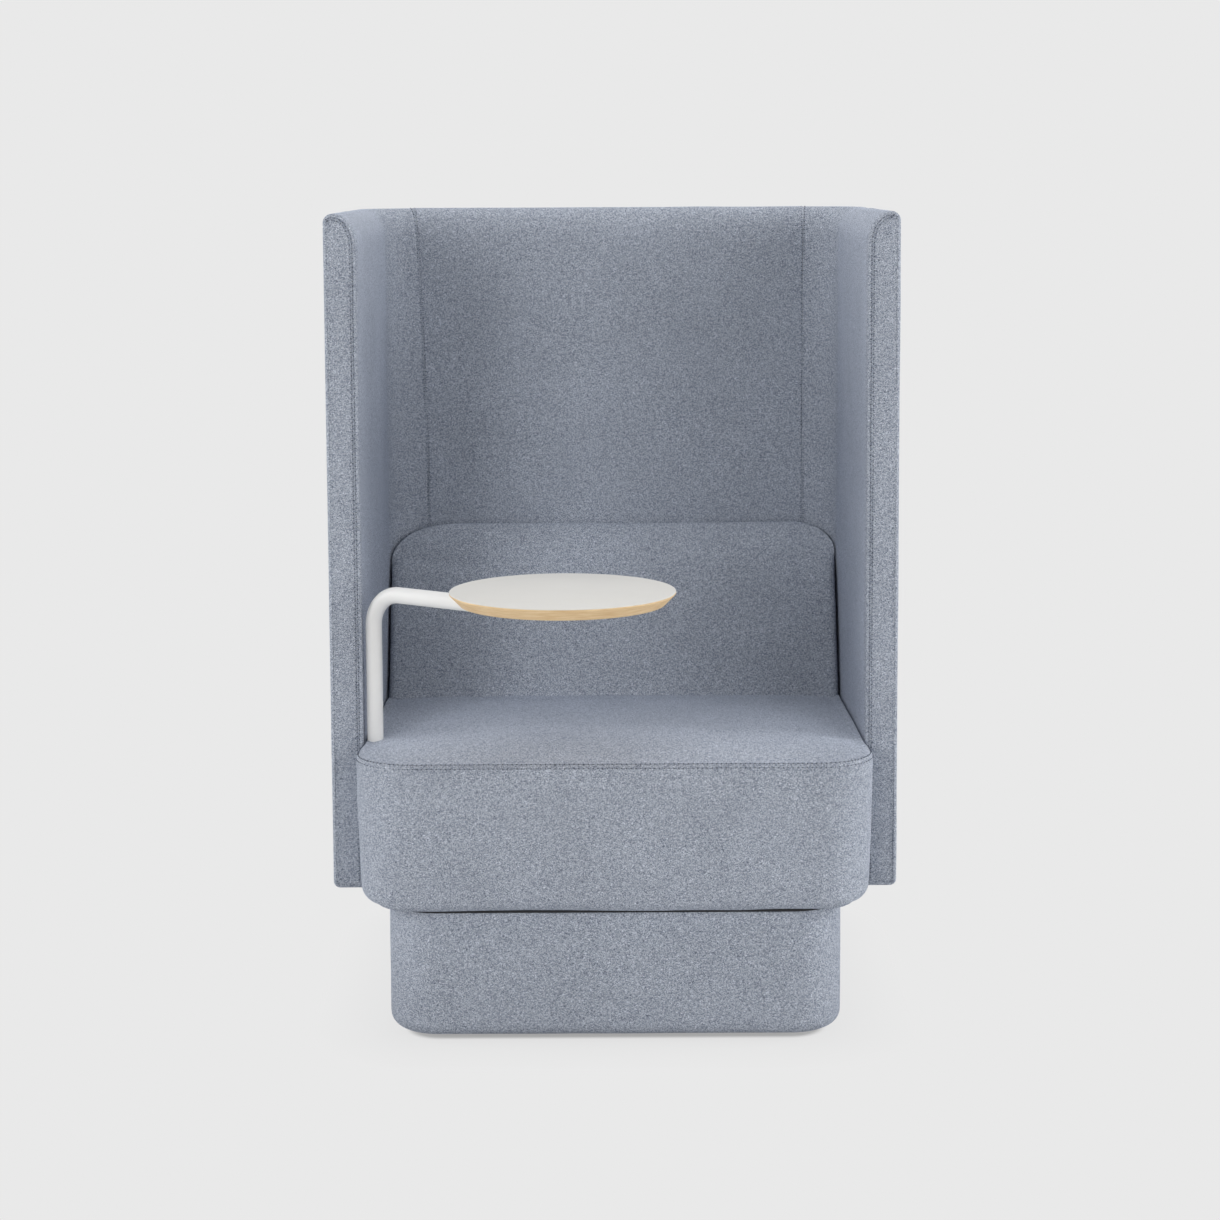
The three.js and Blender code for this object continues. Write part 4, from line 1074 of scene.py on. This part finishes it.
def build_tablet():
    (_, _, board_low), (_, _, board_high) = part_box("tablet_board")
    (_, _, sheet_low), (_, _, sheet_high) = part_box("tablet_laminate")
    plate_low, plate_high = board_low - 0.0043, board_low - 0.0003
    plate = turned("arm_plate", [(0.0, plate_low, 0), (PLATE_RADIUS, plate_low, 0.0009),
                                 (PLATE_RADIUS, plate_high, 0.0003), (0.0, plate_high, 0)], 128)
    beads = [weld_bead(plate_low, side) for side in (-1, 1)]
    dress_tablet(joined("tablet_arm_smooth", [arm_tube(), moved(plate, TO_BOARD)] + beads), "white_steel",
                 "tablet_arm")
    rim = TABLET_RADIUS
    board = turned("tablet_board_round", [
        (0.0, board_low, 0), (rim - 0.0150, board_low, 0.0012), (rim, board_high - 0.0018, 0.0007),
        (rim, board_high, 0.0002), (0.0, board_high, 0),
    ], 192)
    dress_tablet(moved(board, TO_BOARD), "birch_edge", "tablet_board")
    rim, sheet_low = rim - 0.0002, sheet_low - 0.0002
    sheet = turned("tablet_top_sheet", [
        (0.0, sheet_low, 0), (rim, sheet_low, 0), (rim, sheet_high, 0.0005), (0.0, sheet_high, 0),
    ], 192)
    dress_tablet(moved(sheet, TO_BOARD), "laminate", "tablet_laminate")
    screw = screw_shape(board_low - 0.0046)
    turns = [radians(angle) for angle in (50, 130, 230, 310)]
    places = [(ARM_REACH + 0.040 * cos(t), 0.040 * sin(t), 0.0) for t in turns]
    screws = grown("tablet_screws", places, [], FIXINGS, fixing=screw, turn=0.7)
    bpy.data.objects.remove(screw)
    dress_tablet(screws, "plain_steel", *["tablet_screw_%d" % number for number in (1, 2, 3, 4)])
    plug = turned("tube_end_plug", [
        (0.0, -0.012, 0), (0.0102, -0.012, 0.0006), (0.0102, 0.0003, 0), (0.0119, 0.0003, 0.0002),
        (0.0119, 0.0028, 0.0012), (0.0, 0.0030, 0),
    ], 64)
    moved(plug, Matrix.Translation((ARM_END, 0, ARM_AXIS)) @ Matrix.Rotation(pi / 2, 4, "Y"))
    dress_tablet(plug, "black_plastic", "arm_end_plug")


def dress_frame():
    """Materials on the frame's own nodes that stay in view or inside."""
    for entry in frame["record"]["subparts"]:
        item = frame["nodes"][entry["node"]]
        if not item.material_slots:
            item.data.materials.append(None)
        for slot in item.material_slots:
            slot.material = FINISHES[entry["material_slot"]]


# Stage: floor, lamps and camera
BACKGROUND = linear(233, 233, 233)
WORLD_STRENGTH = 0.13
FLOOR_HALF = 14.0


def seen_by_eye(tree):
    """1 for rays that show the surface itself or its mirror image or what lies behind glass."""
    rays = node("ShaderNodeLightPath", tree=tree).outputs
    seen = maths("ADD", rays["Is Camera Ray"], rays["Is Glossy Ray"], clamp=True)
    return maths("ADD", seen, rays["Is Transmission Ray"], clamp=True)


def from_plinth(tree):
    """How far a place on the floor lies outside the plinth's rounded outline; inside it is below 0."""
    parts = node("ShaderNodeSeparateXYZ", {0: out("ShaderNodeTexCoord", tree=tree, output="Object")}).outputs
    middle, half = (PLINTH_FRONT + PLINTH_REAR) / 2, (PLINTH_REAR - PLINTH_FRONT) / 2
    beside = maths("SUBTRACT", maths("ABSOLUTE", parts["X"]), PLINTH_HALF - PLINTH_RADIUS)
    along = maths("ABSOLUTE", maths("SUBTRACT", parts["Y"], middle))
    along = maths("SUBTRACT", along, half - PLINTH_RADIUS)
    squares = [maths("POWER", maths("MAXIMUM", run, 0.0), 2.0) for run in (beside, along)]
    corner = maths("SQRT", maths("ADD", *squares))
    within = maths("MINIMUM", maths("MAXIMUM", beside, along), 0.0)
    return maths("SUBTRACT", maths("ADD", corner, within), PLINTH_RADIUS)


def floor_material():
    """A pale floor that shows the chair's shadow near the plinth and runs into the background further out."""
    material = bpy.data.materials.new("pale_floor")
    material.use_nodes = True
    tree = material.node_tree
    tree.nodes.clear()
    away = from_plinth(tree)
    share = maths("ADD", between(away, -0.034, -0.022, 0.42, 0.9), between(away, -0.02, 0.12, 0.0, 0.1))
    matt = out("ShaderNodeBsdfDiffuse", {"Color": linear(222, 222, 222)}, tree)
    glow = out("ShaderNodeEmission", {"Color": BACKGROUND}, tree)
    mixed = out("ShaderNodeMixShader", {0: times(seen_by_eye(tree), share), 1: matt, 2: glow})
    node("ShaderNodeOutputMaterial", {"Surface": mixed})
    return material


def build_stage():
    corners = [(x * FLOOR_HALF, y * FLOOR_HALF, 0) for x, y in ((-1, -1), (1, -1), (1, 1), (-1, 1))]
    floor = new_mesh("floor", corners, [(0, 1, 2, 3)], smooth=False)
    floor.data.materials.append(floor_material())
    world = bpy.data.worlds.new("studio")
    scene.world = world
    world.use_nodes = True
    tree = world.node_tree
    tree.nodes.clear()
    soft = out("ShaderNodeBackground", {"Color": (1, 1, 1, 1), "Strength": WORLD_STRENGTH}, tree)
    seen = out("ShaderNodeBackground", {"Color": BACKGROUND, "Strength": 1}, tree)
    mixed = out("ShaderNodeMixShader", {0: seen_by_eye(tree), 1: soft, 2: seen})
    node("ShaderNodeOutputWorld", {"Surface": mixed})


# Each lamp's name, place, aim, width and height, and watts
CHAIR_MIDDLE = (0.0, 0.0, 0.7)
LAMPS = (
    ("front_left", (-1.7, -3.4, 1.6), CHAIR_MIDDLE, (1.0, 1.4), 44),
    ("front_right", (1.7, -3.4, 1.6), CHAIR_MIDDLE, (1.0, 1.4), 13),
    ("low_right", (2.6, -3.2, 1.4), CHAIR_MIDDLE, (1.2, 1.6), 24),
    ("overhead", (0.0, -0.3, 3.8), (0.0, -0.2, 0.6), (2.0, 1.6), 25),
    ("top_back", (0.0, 1.6, 3.6), (0.0, 0.0, 0.6), (1.6, 1.2), 30),
    ("side_left", (-3.4, 0.0, 1.5), CHAIR_MIDDLE, (1.6, 2.2), 51),
    ("side_right", (3.4, 0.0, 1.5), CHAIR_MIDDLE, (1.6, 2.2), 66),
    ("rear", (0.0, 3.8, 1.8), CHAIR_MIDDLE, (2.4, 1.8), 44),
)


def build_lamps():
    for name, spot, aim, size, power in LAMPS:
        data = bpy.data.lights.new(name, "AREA")
        data.shape = "RECTANGLE"
        data.size, data.size_y = size
        data.energy = power
        lamp = put(name, data)
        lamp.location = spot
        lamp.rotation_euler = (Vector(aim) - Vector(spot)).to_track_quat("-Z", "Y").to_euler()
        lamp.visible_camera = False


def build_camera():
    """The photo's camera stood level with a large shift. Here the shift is small, and it looks down."""
    data = bpy.data.cameras.new("camera")
    data.sensor_width = 36
    data.lens = 76.74
    data.shift_y = -0.12
    data.clip_end = 100
    camera = put("camera", data)
    camera.location = (-0.0045, WING_FRONT - 3.9215, 1.3052)
    look_down = Matrix.Rotation(radians(90 - 6.396), 4, "X")
    roll = Matrix.Rotation(radians(-0.28), 4, "Z")
    camera.rotation_euler = (look_down @ roll).to_euler()
    scene.camera = camera


scene.view_settings.view_transform = "Standard"
dress_frame()
build_shell()
build_seat()
build_lumbar()
build_plinth()
build_painted_shadow_strip()
build_glides()
build_tablet()
build_stage()
build_lamps()
build_camera()
